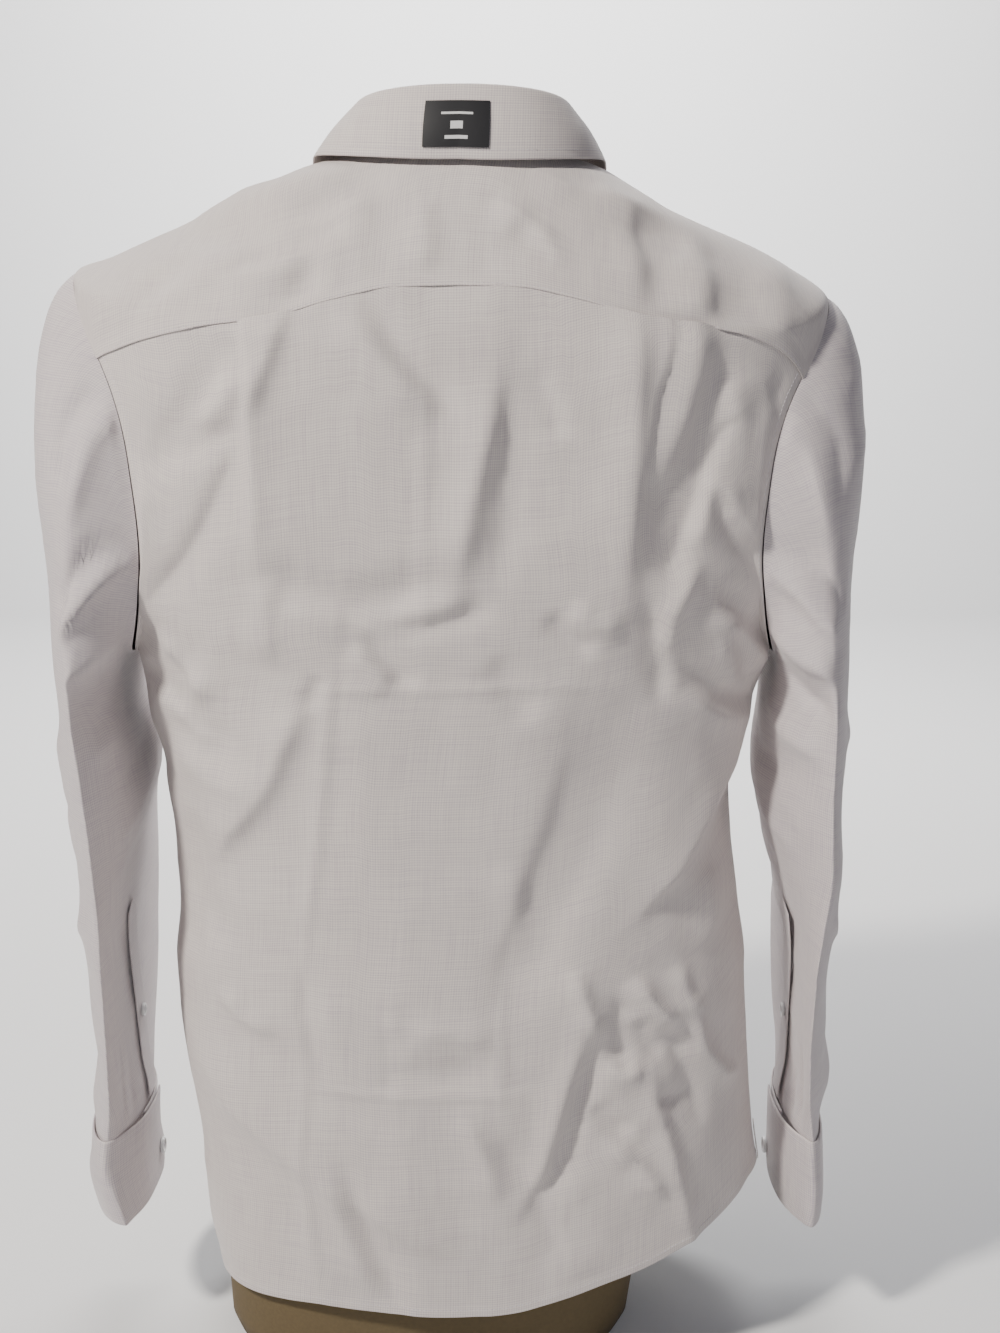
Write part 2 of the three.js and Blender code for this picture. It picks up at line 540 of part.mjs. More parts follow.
function capPoint(top, t) {
  const [t2, t3] = [t * t, t * t * t];
  return top.start.clone().multiplyScalar(2 * t3 - 3 * t2 + 1)
    .addScaledVector(top.leave, t3 - 2 * t2 + t)
    .addScaledVector(top.end, 3 * t2 - 2 * t3)
    .addScaledVector(top.arrive, t3 - t2);
}

function sleeve(side) {
  const order = side === "right" ? ROUND : [...ROUND].reverse();
  const tops = order.map((degrees) => sleeveTop(side, degrees));
  const rows = [
    ...CAP_STEPS.map((t) => tops.map((top) => capPoint(top, t))),
    ...TUBE_HEIGHTS.map((z) => order.map((a) => lensPoint(SLEEVES[side], z, a, sleeveSharp(z)))),
  ].reverse();
  const middle = (side === "right" ? 1 : -1) * SLEEVE_MIDDLE;
  return rows.map((row, j) =>
    row.map((point, i) => {
      const fromSeam = rows.length - 1 - j;
      const away = j === 0 ? 0 : smooth(fromSeam, 0, 4) * sleeveLift(side, point.z, order[i]);
      const out = new THREE.Vector3(point.x - middle, point.y * 0.3, 0).normalize();
      return point.addScaledVector(out, away);
    }),
  );
}

// A cuff is a band whose ends lap on the inner face, the end nearer the front lying outside.
const CUFF_LAP = { from: 163, ends: 205, lift: 2.6 };
function cuff(side) {
  const even = evenly(22).map((t) => CUFF_LAP.from - 360 + t * (360 + CUFF_LAP.ends - CUFF_LAP.from));
  const table = CUFFS[side];
  const heights = [CUFF_END, 53, 69, 86, CUFF_TOP - 0.4];
  const rows = heights.map((z) =>
    even.map((degrees) => {
      const point = lensPoint(table, z, degrees, CREASE_SHARP.cuff);
      const over = smooth(degrees, CUFF_LAP.from - 45, CUFF_LAP.from - 6) * CUFF_LAP.lift;
      return point.addScaledVector(new THREE.Vector3(side === "right" ? -1 : 1, 0, 0), over);
    }),
  );
  if (side === "left") rows.forEach((row) => row.reverse());
  return rows;
}

// The placket strip beside the slit, on the sleeve's inner face above the cuff.
const PLACKET = { low: 106, high: 258, half: 11, wall: 1, foot: 8, head: -24 };
function placketPoint(side, z, across) {
  const table = SLEEVES[side];
  const r = named(SLEEVE_COLUMNS, readDown(table, z));
  const y = mix(PLACKET.foot, PLACKET.head, (z - PLACKET.low) / (PLACKET.high - PLACKET.low)) + across * PLACKET.half;
  const degrees = 180 - Math.asin(-y / (y < 0 ? r.back : r.front)) / TURN;
  const point = lensPoint(table, z, degrees, sleeveSharp(z));
  const middle = (side === "right" ? 1 : -1) * SLEEVE_MIDDLE;
  const away = sleeveLift(side, z, degrees);
  point.addScaledVector(new THREE.Vector3(point.x - middle, point.y * 0.3, 0).normalize(), away);
  return point.addScaledVector(new THREE.Vector3(side === "right" ? -1 : 1, 0, 0), (CLOTH + PLACKET.wall) / 2 + 0.9);
}
function placket(side) {
  const across = side === "right" ? [1, 0, -1] : [-1, 0, 1];
  const rows = evenly(8).map((t) => across.map((s) => placketPoint(side, mix(PLACKET.low, PLACKET.high, t), s)));
  return rows;
}

// Collar. The stand rises from the neck's seam, and the leaf folds over it and falls outside.
const STAND_TOP = { half: 61, back: 52, front: 53, backHeight: 752, sideHeight: 747, frontHeight: 694, square: 2.6 };
const STAND_LAP = { ends: 193 * TURN, lift: 1.3 };
function standTop(angle, grow = 0) {
  const [s, c] = [Math.sin(angle), Math.cos(angle)];
  const n = STAND_TOP.square;
  const round = (Math.abs(s) ** n + Math.abs(c) ** n) ** (-1 / n);
  const depth = c > 0 ? STAND_TOP.back : STAND_TOP.front;
  const end = c > 0 ? STAND_TOP.backHeight : STAND_TOP.frontHeight;
  const z = mix(STAND_TOP.sideHeight, end, Math.abs(c) ** 1.5);
  return new THREE.Vector3(1 + (STAND_TOP.half + grow) * s * round, -(depth + grow) * c * round, z);
}
function standPoint(angle, up) {
  const foot = bodyPoint(angle, NECK_LEVEL);
  foot.z += 1.1 + 3.2 * smooth(Math.abs(angle), 140 * TURN, 165 * TURN);
  const lap = smooth(Math.abs(angle), 150 * TURN, 174 * TURN) * STAND_LAP.lift * -Math.sign(angle);
  const point = foot.lerp(standTop(angle), up);
  return point.add(new THREE.Vector3(Math.sin(angle), -Math.cos(angle), 0).multiplyScalar(lap));
}
function collarStand() {
  const columns = evenly(36).map((t) => mix(-STAND_LAP.ends, STAND_LAP.ends, t));
  return [0, 0.35, 0.7, 1].map((up) => columns.map((angle) => standPoint(angle, up)));
}

// The leaf's lower edge lies on the shoulders: its angle and level by the angle of its fold.
const LEAF_EDGE = [[0, 0, 719.5], [40, 40, 718], [90, 90, 715.5], [130, 124, 710], [155, 145, 700], [174, 161, 686]];
const LEAF_END = 174 * TURN;
const LEAF_SHAPE = { overCloth: 4.6, crestOut: 1.3, crestUp: 3.4, outside: 3.4, outsideUp: 1.5, bulge: 2.4 };
const LEAF_STEPS = [0, 0.05, 0.1, 0.22, 0.42, 0.7, 1];
function leafPoint(angle, down) {
  const [, turn, level] = readTable(LEAF_EDGE, Math.abs(angle) / TURN);
  const edgeAngle = Math.sign(angle) * turn * TURN;
  const edge = bodyPoint(edgeAngle, level).addScaledVector(bodyOut(edgeAngle, level), LEAF_SHAPE.overCloth);
  const crest = standTop(angle, LEAF_SHAPE.crestOut);
  crest.z += LEAF_SHAPE.crestUp;
  if (down <= LEAF_STEPS[1]) {
    const seam = standTop(angle, 0);
    seam.z += 1.2;
    return seam.lerp(crest, down / LEAF_STEPS[1]);
  }
  const outside = standTop(angle, LEAF_SHAPE.outside);
  outside.z += LEAF_SHAPE.outsideUp;
  if (down <= LEAF_STEPS[2]) return crest.lerp(outside, (down - LEAF_STEPS[1]) / (LEAF_STEPS[2] - LEAF_STEPS[1]));
  const part = (down - LEAF_STEPS[2]) / (1 - LEAF_STEPS[2]);
  const bulge = LEAF_SHAPE.bulge * Math.sin(Math.PI * part);
  return outside.lerp(edge, part).add(new THREE.Vector3(Math.sin(angle), -Math.cos(angle), 0).multiplyScalar(bulge));
}
function collarLeaf() {
  const columns = evenly(36).map((t) => mix(-LEAF_END, LEAF_END, t));
  return [...LEAF_STEPS].reverse().map((down) => columns.map((angle) => leafPoint(angle, down)));
}

// The bare size label stuck on the leaf's back.
const LABEL = { left: -21, right: 18, low: 0.86, high: 0.3, wall: 0.6 };
function label() {
  const turn = (x) => Math.atan2(x / STAND_TOP.half, 1);
  return evenly(2).map((v) =>
    evenly(6).map((u) => {
      const angle = turn(mix(LABEL.left, LABEL.right, u));
      const down = mix(LABEL.low, LABEL.high, v);
      const out = outward((a, d) => leafPoint(a, -d), angle, -down, 0.03, 0.03);
      return leafPoint(angle, down).addScaledVector(out, (COLLAR_CLOTH + LABEL.wall) / 2 + 0.5);
    }),
  );
}

// A sew-on button with a raised rim, its flat back at its origin.
function buttonGeometry(radius = BUTTON.radius) {
  const profile = [[0, 0], [radius, 0], [radius, BUTTON.thick], [radius * 0.66, BUTTON.thick], [radius * 0.58, 1.4], [0, 1.4]];
  return new THREE.LatheGeometry(profile.map(([r, y]) => new THREE.Vector2(r, y)), 10);
}
function addButton(name, seat, out, radius) {
  const mesh = add(name, buttonGeometry(radius), "button");
  mesh.quaternion.setFromUnitVectors(new THREE.Vector3(0, 1, 0), out);
  mesh.position.add(seat);
}

const FRONT_BUTTONS = { count: 7, first: 606, pitch: 82 };
function frontButtons() {
  for (let n = 0; n < FRONT_BUTTONS.count; n += 1) {
    const level = levelAtHeight(Math.PI, FRONT_BUTTONS.first - n * FRONT_BUTTONS.pitch);
    const out = bodyOut(Math.PI, level);
    const seat = bodyPoint(Math.PI, level);
    seat.x = 0;
    addButton(`front_button_${n + 1}`, seat.addScaledVector(out, OVERLAP_LIFT + CLOTH / 2 + 0.55), out);
  }
  const out = new THREE.Vector3(0, 1, 0);
  const seat = standPoint(-Math.PI, 0.5).add(new THREE.Vector3(0, COLLAR_CLOTH / 2 + 1.9, 0));
  addButton("collar_button", seat, out, 5);
}
function sleeveButtons(side) {
  const inwards = new THREE.Vector3(side === "right" ? -1 : 1, 0, 0);
  const cuffSeat = lensPoint(CUFFS[side], 62, 180 + 14, CREASE_SHARP.cuff);
  cuffSeat.addScaledVector(inwards, CUFF_LAP.lift + CUFF_CLOTH / 2 + 0.7);
  addButton(`cuff_button_${side}`, cuffSeat, inwards);
  const strip = placketPoint(side, 172, 0).addScaledVector(inwards, PLACKET.wall / 2 + 0.5);
  addButton(`placket_button_${side}`, strip, inwards, 4.5);
}

// The dress form: a smooth torso with a flat base, and a flat cap on its neck.
const FORM_SHOULDER = YOKE_ROWS.slice(2, -1).map((t) => mix(SHOULDER_TIP, NECK_LEVEL, t));
function formPoint(angle, level) {
  if (level < FORM_SHOULDER[0]) return ringPoint(FORM_RINGS, angle, level);
  const gap = FORM_GAP.ridge + CLOTH / 2 + FORM_GAP.more * Math.abs(Math.cos(angle)) ** 2;
  return bodyPoint(angle, level).addScaledVector(bodyOut(angle, level), -gap);
}
const FORM_TURNS = evenly(32).slice(0, -1).map((t) => t * 2 * Math.PI);
function neckPoint(angle, z) {
  const depth = Math.cos(angle) > 0 ? FORM_NECK.back : FORM_NECK.front;
  return new THREE.Vector3(1 + FORM_NECK.half * Math.sin(angle), -depth * Math.cos(angle), z);
}
function formTorso() {
  const levels = [-FORM_BASE, 0, 60, 120, 180, 240, 285, 330, 375, 420, 460, 500, 540, 580, 612, 640, ...FORM_SHOULDER];
  const rows = levels.map((level) => FORM_TURNS.map((angle) => formPoint(angle, level)));
  rows.push(FORM_TURNS.map((angle) => {
    const low = formPoint(angle, levels.at(-1));
    return low.lerp(neckPoint(angle, low.z + 8), 0.7);
  }));
  rows.push(FORM_TURNS.map((angle) => neckPoint(angle, FORM_NECK.top)));
  return rows;
}
function formNeckCap() {
  const { top, cap } = FORM_NECK;
  return [top + 0.3, top + cap].map((z) => FORM_TURNS.filter((_, n) => n % 2 === 0).map((angle) => neckPoint(angle, z)));
}

const back = backPanel();
add("back_panel", wall(back.rows, CLOTH), "cloth");
add("back_yoke", wall(yoke(back.columns), CLOTH), "cloth");
for (const side of ["left", "right"]) {
  add(`front_${side}`, wall(frontPanel(side), CLOTH), "cloth");
  add(`sleeve_${side}`, wall(sleeve(side), CLOTH, true), "cloth");
  add(`cuff_${side}`, wall(cuff(side), CUFF_CLOTH), "collar");
  add(`sleeve_placket_${side}`, wall(placket(side), PLACKET.wall), "cloth");
  add(`hem_gusset_${side}`, wall(gusset(side), GUSSET.wall), "cloth");
  sleeveButtons(side);
}
add("collar_stand", wall(collarStand(), COLLAR_CLOTH), "collar");
add("collar_leaf", wall(collarLeaf(), COLLAR_CLOTH), "collar");
add("size_label", wall(label(), LABEL.wall), "label");
frontButtons();
add("form_torso", stack(formTorso()), "form");
add("form_neck_cap", stack(formNeckCap()), "form");

export default group;
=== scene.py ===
# %% [markdown]
# # A long sleeve dress shirt on a dress form
# The shirt hangs on a limbless form and is seen from behind. Its cloth is made panel by panel, as a
# maker cuts it: back, yoke, two fronts, sleeves, cuffs and collar. Each panel is a fine grid on the
# surface that its solid has in the frame, creased, given a thickness, and woven by its material.

# %% Load the frame
import json
import math

import bmesh
import bpy
import numpy as np
from mathutils import Matrix, Vector

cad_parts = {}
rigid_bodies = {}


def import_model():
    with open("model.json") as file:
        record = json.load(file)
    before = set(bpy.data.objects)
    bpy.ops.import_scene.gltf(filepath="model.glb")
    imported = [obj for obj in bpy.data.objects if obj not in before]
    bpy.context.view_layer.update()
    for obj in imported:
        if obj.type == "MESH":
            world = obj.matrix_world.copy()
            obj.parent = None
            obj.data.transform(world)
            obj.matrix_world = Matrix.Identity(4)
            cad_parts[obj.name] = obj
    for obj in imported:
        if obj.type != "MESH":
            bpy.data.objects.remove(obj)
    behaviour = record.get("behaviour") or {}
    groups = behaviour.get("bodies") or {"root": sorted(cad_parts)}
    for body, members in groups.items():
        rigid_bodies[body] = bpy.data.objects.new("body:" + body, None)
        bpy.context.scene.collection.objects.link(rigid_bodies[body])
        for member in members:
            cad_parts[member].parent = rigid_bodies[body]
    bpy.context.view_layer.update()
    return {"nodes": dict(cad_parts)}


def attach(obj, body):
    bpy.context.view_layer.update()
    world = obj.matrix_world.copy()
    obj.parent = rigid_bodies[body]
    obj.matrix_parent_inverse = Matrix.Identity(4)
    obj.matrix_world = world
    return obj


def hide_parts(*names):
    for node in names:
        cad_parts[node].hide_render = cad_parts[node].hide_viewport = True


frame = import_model()
bpy.ops.object.select_all(action="DESELECT")
MM = 0.001
TABLE_ZERO = 45  # the tables' height 0 is this far above the form's base, in millimetres

# %% [markdown]
# ## Camera, light and floor
# The camera stands 0.95 m behind the shirt, a little under its collar, and looks down by 11 degrees.
# Folds in cloth are read by their shade. A large light from the front would wash them out, so the key
# is a fairly small lamp high up on the camera's left that grazes the cloth, and weak, larger lamps
# soften what it leaves dark. The floor turns up into a backdrop, so that no horizon shows.

# %% Camera
CAMERA_AT = (0.023, -0.955, 0.592 + TABLE_ZERO * MM)
CAMERA_PITCH = -11
LENS = 40.5

camera_data = bpy.data.cameras.new("camera")
camera_data.lens = LENS
camera = bpy.data.objects.new("camera", camera_data)
camera.location = CAMERA_AT
camera.rotation_euler = (math.radians(90 + CAMERA_PITCH), 0, 0)
bpy.context.scene.collection.objects.link(camera)
bpy.context.scene.camera = camera
print("lens", LENS, "mm at", CAMERA_AT)

# %% Lights
# Name, place, aims at, size in metres, power in watts, colour.
LIGHTS = [
    ("key", (-1.32, -1.2, 2.05), (0, 0, 0.5), 0.26, 78, (1.0, 0.95, 0.88)),
    ("low_fill", (0.5, -2.0, 0.35), (0.08, 0, 0.25), 0.8, 5, (0.80, 0.90, 1.0)),
    ("rim", (0.9, 1.5, 1.5), (0, 0, 0.5), 1.2, 10, (1.0, 0.98, 0.96)),
    ("backdrop", (0.0, 1.3, 2.6), (0, 3.0, 0.9), 1.6, 170, (1.0, 1.0, 1.0)),
]
for name, place, aim, size, power, colour in LIGHTS:
    lamp = bpy.data.lights.new(name, "AREA")
    lamp.shape = "DISK"
    lamp.size = size
    lamp.energy = power
    lamp.color = colour
    light = bpy.data.objects.new(name, lamp)
    light.location = place
    light.rotation_euler = (Vector(aim) - Vector(place)).to_track_quat("-Z", "Y").to_euler()
    bpy.context.scene.collection.objects.link(light)

WORLD_COLOUR, WORLD_STRENGTH = (0.90, 0.86, 1.0, 1), 0.14
world = bpy.data.worlds.new("studio")
world.use_nodes = True
world.node_tree.nodes["Background"].inputs["Color"].default_value = WORLD_COLOUR
world.node_tree.nodes["Background"].inputs["Strength"].default_value = WORLD_STRENGTH
bpy.context.scene.world = world
print("lights", len(LIGHTS))

# %% Floor and backdrop
FLOOR_REACH = 3.0
BACKDROP_HEIGHT = 3.2
BACKDROP_ROUND, BACKDROP_STEPS = 1.2, 16


def select_far_edge(plane, near=0.01):
    """Selects the floor's far edge, which lies on the ground at the end of its reach."""
    bpy.ops.mesh.select_all(action="DESELECT")
    edit = bmesh.from_edit_mesh(plane.data)
    for edge in edit.edges:
        edge.select = all(v.co.y > FLOOR_REACH - near and v.co.z < near for v in edge.verts)
    bmesh.update_edit_mesh(plane.data)


bpy.ops.mesh.primitive_plane_add(size=2 * FLOOR_REACH, location=(0, 0, 0))
floor = bpy.context.object
floor.name = "floor"
bpy.ops.object.mode_set(mode="EDIT")
select_far_edge(floor)
bpy.ops.mesh.extrude_region_move(TRANSFORM_OT_translate={"value": (0, 0, BACKDROP_HEIGHT)})
select_far_edge(floor)
bpy.ops.mesh.bevel(offset=BACKDROP_ROUND, segments=BACKDROP_STEPS)
bpy.ops.object.mode_set(mode="OBJECT")
bpy.ops.object.shade_smooth()
bpy.ops.object.select_all(action="DESELECT")
print("floor faces", len(floor.data.polygons))

# %% [markdown]
# ## Reading shapes from short tables
# A garment's body is easiest to hold as a stack of rings, each with a width, a depth and a squareness.
# The rings between two rows of the table follow a smooth curve that never overshoots them, so a waist
# stays a waist. The same numbers shape the solids, which is why the cloth lies where they are.

# %% Tables
class Table:
    """Rows of numbers, read by their first column along a smooth curve that doesn't overshoot."""

    def __init__(self, rows):
        rows = np.array(sorted(rows), float)
        self.at = rows[:, 0]
        self.values = rows[:, 1:]
        rise = np.diff(self.values, axis=0) / np.diff(self.at)[:, None]
        before, after = rise[:-1], rise[1:]
        same = before * after > 0
        self.slope = np.zeros_like(self.values)
        self.slope[0], self.slope[-1] = rise[0], rise[-1]
        self.slope[1:-1] = np.where(same, 2 * before * after / np.where(same, before + after, 1), 0)

    def __call__(self, at):
        at = np.clip(np.asarray(at, float), self.at[0], self.at[-1])
        k = np.clip(np.searchsorted(self.at, at, side="right") - 1, 0, len(self.at) - 2)
        step = (self.at[k + 1] - self.at[k])[..., None]
        t = (at - self.at[k])[..., None] / step
        a, b = self.slope[k] * step, self.slope[k + 1] * step
        away = self.values[k + 1] - self.values[k]
        value = self.values[k] + t * (a + t * (3 * away - 2 * a - b + t * (a + b - 2 * away)))
        return np.moveaxis(value, -1, 0)


def mix(a, b, t):
    return a + (b - a) * t


def smooth(at, start, end):
    t = np.clip((at - start) / (end - start), 0, 1)
    return t * t * (3 - 2 * t)


# Level, middle in X, half width, depth back and front, squareness, fall at the centre back and
# centre front, and slope in X. Millimetres, as are all tables here.
BODY = Table([
    (0, 14.5, 183.5, 104, 104, 2.4, 0, 0, 0), (60, 11, 188, 106, 105, 2.4, 0, 0, 0),
    (95, 8, 186, 107, 105, 2.4, 0, 0, 0), (140, 3, 187, 107, 104, 2.4, 0, 0, 0),
    (215, -3, 188, 105, 102, 2.4, 0, 0, 0), (260, -4, 183, 103, 101, 2.4, 0, 0, 0),
    (300, -7, 181, 102, 101, 2.4, 0, 0, 0), (345, -10, 182, 102, 103, 2.4, 0, 0, 0),
    (391, -9, 194, 103, 107, 2.4, 0, 0, 0), (420, -7, 201, 104, 110, 2.5, 0, 2, 0),
    (470, -6, 212, 106, 113, 2.7, 0, 8, 0.005), (530, -6, 219, 107, 114, 2.8, 8, 20, 0.015),
    (590, -6, 226, 107, 110, 2.7, 28, 36, 0.025), (647, -6, 229, 106, 100, 2.6, 46, 56, 0.033),
    (661, -6, 205, 104, 95, 2.5, 42, 60, 0.017), (673, -6, 180, 100, 91, 2.5, 36, 62, 0.013),
    (683, -6, 155, 94, 86, 2.5, 30, 60, 0.013), (693, -5, 130, 87, 81, 2.5, 24, 59, 0.013),
    (707, -4, 105, 77, 74, 2.5, 18, 58, 0.013), (716, -2, 86, 69, 68, 2.5, 13, 57, 0.013),
    (722, 0, 66, 60, 60, 2.5, 9, 56, 0.01),
])
UNDERARM, SHOULDER_TIP, NECK_LEVEL = 420, 647, 722
HEM = Table([
    (-180, 24), (-150, 27), (-125, 42), (-105, 46), (-92, 28), (-78, 6), (-69, 0.5), (-59, 1.5), (-50, 3.5),
    (-40, 6.5), (-30, 10), (-20, 9), (-8, 8.5), (2, 10), (8, 13), (17, 22), (30, 35), (40, 47), (50, 59),
    (58, 67), (66, 72), (76, 71), (83, 68), (95, 58), (108, 48), (130, 34), (155, 26), (180, 24),
])
YOKE_SEAM = Table([(0, 642), (45, 641), (84, 634), (117, 624), (160, 618), (200, 611)])
print("body rings", len(BODY.at))


# %% The body's surface
def body_point(angle, level):
    """The point at an angle round the body (0 at the centre back) and a level."""
    angle, level = np.broadcast_arrays(np.asarray(angle, float), np.asarray(level, float))
    middle, half, back, front, square, back_drop, front_drop, slope = BODY(level)
    s, c = np.sin(angle), np.cos(angle)
    rounding = (np.abs(s) ** square + np.abs(c) ** square) ** (-1 / square)
    x = half * s * rounding
    y = np.where(c > 0, -back, -front) * c * rounding
    drop = np.where(c > 0, back_drop, front_drop) * np.abs(c) ** 1.5
    return np.stack([middle + x, y, level - drop - slope * x], -1)


def unit(v):
    return v / np.maximum(np.linalg.norm(v, axis=-1, keepdims=True), 1e-9)


ANGLE_STEP, LEVEL_STEP = 0.02, 1


def surface_out(surface, u, v, du, dv):
    """The way out of a surface given by two numbers, from its slopes."""
    across = surface(u + du, v) - surface(u - du, v)
    up = surface(u, v + dv) - surface(u, v - dv)
    return unit(np.cross(across, up))


def body_out(angle, level):
    return surface_out(body_point, angle, np.minimum(level, NECK_LEVEL - 1), ANGLE_STEP, LEVEL_STEP)


def angle_at_depth(level, depth, back):
    _, _, to_back, to_front, square, _, _, _ = BODY(level)
    part = np.minimum(depth / np.where(back, to_back, to_front), 1)
    side = (1 - part**square) ** (1 / square)
    return np.arctan2(side, np.where(back, part, -part))


def level_at_height(angle, height):
    """The level at which the surface has a height, found by halving."""
    low = np.broadcast_to(height - 5.0, np.shape(angle)).copy()
    high = np.full(np.shape(angle), float(NECK_LEVEL))
    for _ in range(30):
        middle = (low + high) / 2
        under = body_point(angle, middle)[..., 2] < height
        low, high = np.where(under, middle, low), np.where(under, high, middle)
    return (low + high) / 2


# The armhole, by degrees round it: 0 at the shoulder, 90 at the back and 180 under the arm.
ARMHOLE_SQUARE = 2.6
ARMHOLE_BACK_REACH, ARMHOLE_FRONT_REACH = 75, 71
YOKE_CORNER, FRONT_CORNER = 52, -34
SEAM_FOOT = 60  # the level at which the side seams meet the hem
SEAM_TWIST = {"left": math.radians(15), "right": math.radians(8)}


def rounded_power(value):
    return np.sign(value) * np.abs(value) ** (2 / ARMHOLE_SQUARE)


def armhole_level(degrees):
    half = (SHOULDER_TIP - UNDERARM) / 2
    return UNDERARM + half + half * rounded_power(np.cos(np.radians(degrees)))


def armhole_angle(degrees):
    degrees = np.asarray(degrees, float)
    back = degrees >= 0
    reach = np.where(back, ARMHOLE_BACK_REACH, ARMHOLE_FRONT_REACH)
    depth = np.abs(rounded_power(np.sin(np.radians(degrees)))) * reach
    return angle_at_depth(armhole_level(degrees), depth, back)


def side_seam(side, level):
    turned = SEAM_TWIST[side] * (1 - np.minimum(level, UNDERARM) / UNDERARM)
    return math.pi / 2 - turned if side == "right" else -math.pi / 2 - turned


def hem_level(angle):
    return HEM((np.degrees(angle) + 180) % 360 - 180)[0]


# How suddenly the outer columns draw in: the slope and the limit at the armhole's foot, and at its top.
INSET_SLOPE, INSET_SUDDEN, INSET_EVEN = 0.9, 8, 1.5


def armhole_inset(reach, across, t):
    """How a panel's columns draw in from the side seam to the armhole, the outer ones most."""
    shift = np.maximum(1 - reach / (math.pi / 2), 1e-6)
    curve = mix(np.minimum(INSET_SLOPE / shift, INSET_SUDDEN), INSET_EVEN, t)
    return 1 - shift * across ** (curve - 1)


def yoke_seam(across):
    """The back yoke's lower seam, by the place across the back from -1 to 1."""
    corner = armhole_level(YOKE_CORNER)
    angle = math.pi / 2 * across * armhole_inset(armhole_angle(YOKE_CORNER), np.abs(across), 1.0)
    height = YOKE_SEAM(np.abs(body_point(angle, corner)[..., 0]))[0]
    return angle, mix(level_at_height(angle, height), corner, across**8)


tips = [float(body_point(turn, SHOULDER_TIP)[0]) for turn in (-math.pi / 2, math.pi / 2)]
print("shoulder to shoulder", round(tips[1] - tips[0]), "mm")

# %% [markdown]
# ## Creases
# Cotton shirting creases in sharp little ridges with soft, wide valleys beside them, and never twice the
# same. A crease here is a line of points with a height and a width on each side of it, and it fades
# at both ends. The back's were read off the picture, and the front's, which it doesn't show, are
# made up in the same manner. Between them the cloth is crumpled: a field of noise folded at zero leaves sharp
# ridges, and straight folds in several directions, each over its own patches, look like cloth that was
# crushed in a hand. Noise comes from seeded numbers, so that the shirt is the same at every run.

# %% Crease maths
CREST_ROUND = 1.6  # how wide a crest is rounded, in millimetres
END_FADE = 0.3  # the share of a crease over which each end fades
SIDE_BLEND = 3  # half the strip in which its left width turns into its right one


def crease_lift(x, z, creases):
    """The sum of all creases at points of the cloth, in millimetres."""
    total = np.zeros(np.shape(x))
    for height, left, right, sharp, points in creases:
        points = np.array(points, float)
        starts, ends = points[:-1], points[1:]
        runs = np.linalg.norm(ends - starts, axis=1)
        nearest = np.full(np.shape(x), 1e9)
        side = np.zeros(np.shape(x))
        along = np.zeros(np.shape(x))
        done = 0.0
        for (x0, z0), (x1, z1), run in zip(starts, ends, runs):
            dx, dz = (x1 - x0) / run, (z1 - z0) / run
            t = np.clip((x - x0) * dx + (z - z0) * dz, 0, run)
            away = np.hypot(np.hypot(x - x0 - t * dx, z - z0 - t * dz), CREST_ROUND) - CREST_ROUND
            closer = away < nearest
            nearest = np.where(closer, away, nearest)
            side = np.where(closer, dx * (z - z0) - dz * (x - x0), side)
            along = np.where(closer, done + t, along)
            done += run
        part = along / runs.sum()
        fade = smooth(part, -0.05, END_FADE) * smooth(1 - part, -0.05, END_FADE)
        width = mix(right, left, smooth(side, -SIDE_BLEND, SIDE_BLEND))
        total += height * fade * np.exp(-((nearest / width) ** sharp))
    return total


def held_off(lift, room):
    """Troughs no deeper than the room under the cloth."""
    return np.where(lift < 0, -room * np.tanh(-lift / room), lift)


print("crest rounding", CREST_ROUND, "mm")


# %% Crumpled cloth
LATTICE = 64
LATTICE_SHIFT = 1000  # keeps the lattice's own edge away from the shirt's middle


def clouds(x, z, scale, seed):
    """Smooth noise between about -1 and 1, with lumps about `scale` across."""
    lattice = np.random.default_rng(int(seed)).uniform(-1, 1, (LATTICE, LATTICE))
    a, b = np.asarray(x) / scale + LATTICE_SHIFT, np.asarray(z) / scale + LATTICE_SHIFT
    i, j = np.floor(a).astype(int), np.floor(b).astype(int)
    u, v = smooth(a - i, 0, 1), smooth(b - j, 0, 1)
    i0, i1, j0, j1 = i % LATTICE, (i + 1) % LATTICE, j % LATTICE, (j + 1) % LATTICE
    return mix(mix(lattice[i0, j0], lattice[i1, j0], u), mix(lattice[i0, j1], lattice[i1, j1], u), v)


RIDGE_DEPTH = 2.6
SMALLER_RIDGES, SMALLER_SCALE, SMALLER_SHIFT = 0.45, 2.1, (7, 3)


def crumple(x, z, scale, seed):
    """Sharp-ridged noise between about -1 and 1, with ridges about `scale` apart."""
    ridge = 1 - RIDGE_DEPTH * np.abs(clouds(x, z, scale, seed))
    moved_x, moved_z = x + SMALLER_SHIFT[0], z + SMALLER_SHIFT[1]
    smaller = 1 - RIDGE_DEPTH * np.abs(clouds(moved_x, moved_z, scale / SMALLER_SCALE, seed + 1))
    return ridge + SMALLER_RIDGES * smaller


FACET_TURNS = 6
FACET_STRENGTH = 0.55


def facets(x, z, scale, seed):
    """Cloth crushed by hand: straight folds in several directions, each over its own patches."""
    rng = np.random.default_rng(int(seed))
    total = np.zeros(np.shape(x))
    for k in range(FACET_TURNS):
        turn = math.pi * (k + rng.uniform(0.1, 0.9)) / FACET_TURNS
        pitch = scale * rng.uniform(0.8, 1.7)
        bend = 0.5 * scale * clouds(x, z, 2.2 * scale, seed + 10 + k)
        along = x * math.cos(turn) + z * math.sin(turn) + bend
        folded = np.abs((along / pitch + rng.uniform()) % 2 - 1) * 2 - 1
        patch = smooth(clouds(x, z, 1.8 * scale, seed + 20 + k), -0.1, 0.45)
        total += folded * patch * pitch / scale
    return total * FACET_STRENGTH


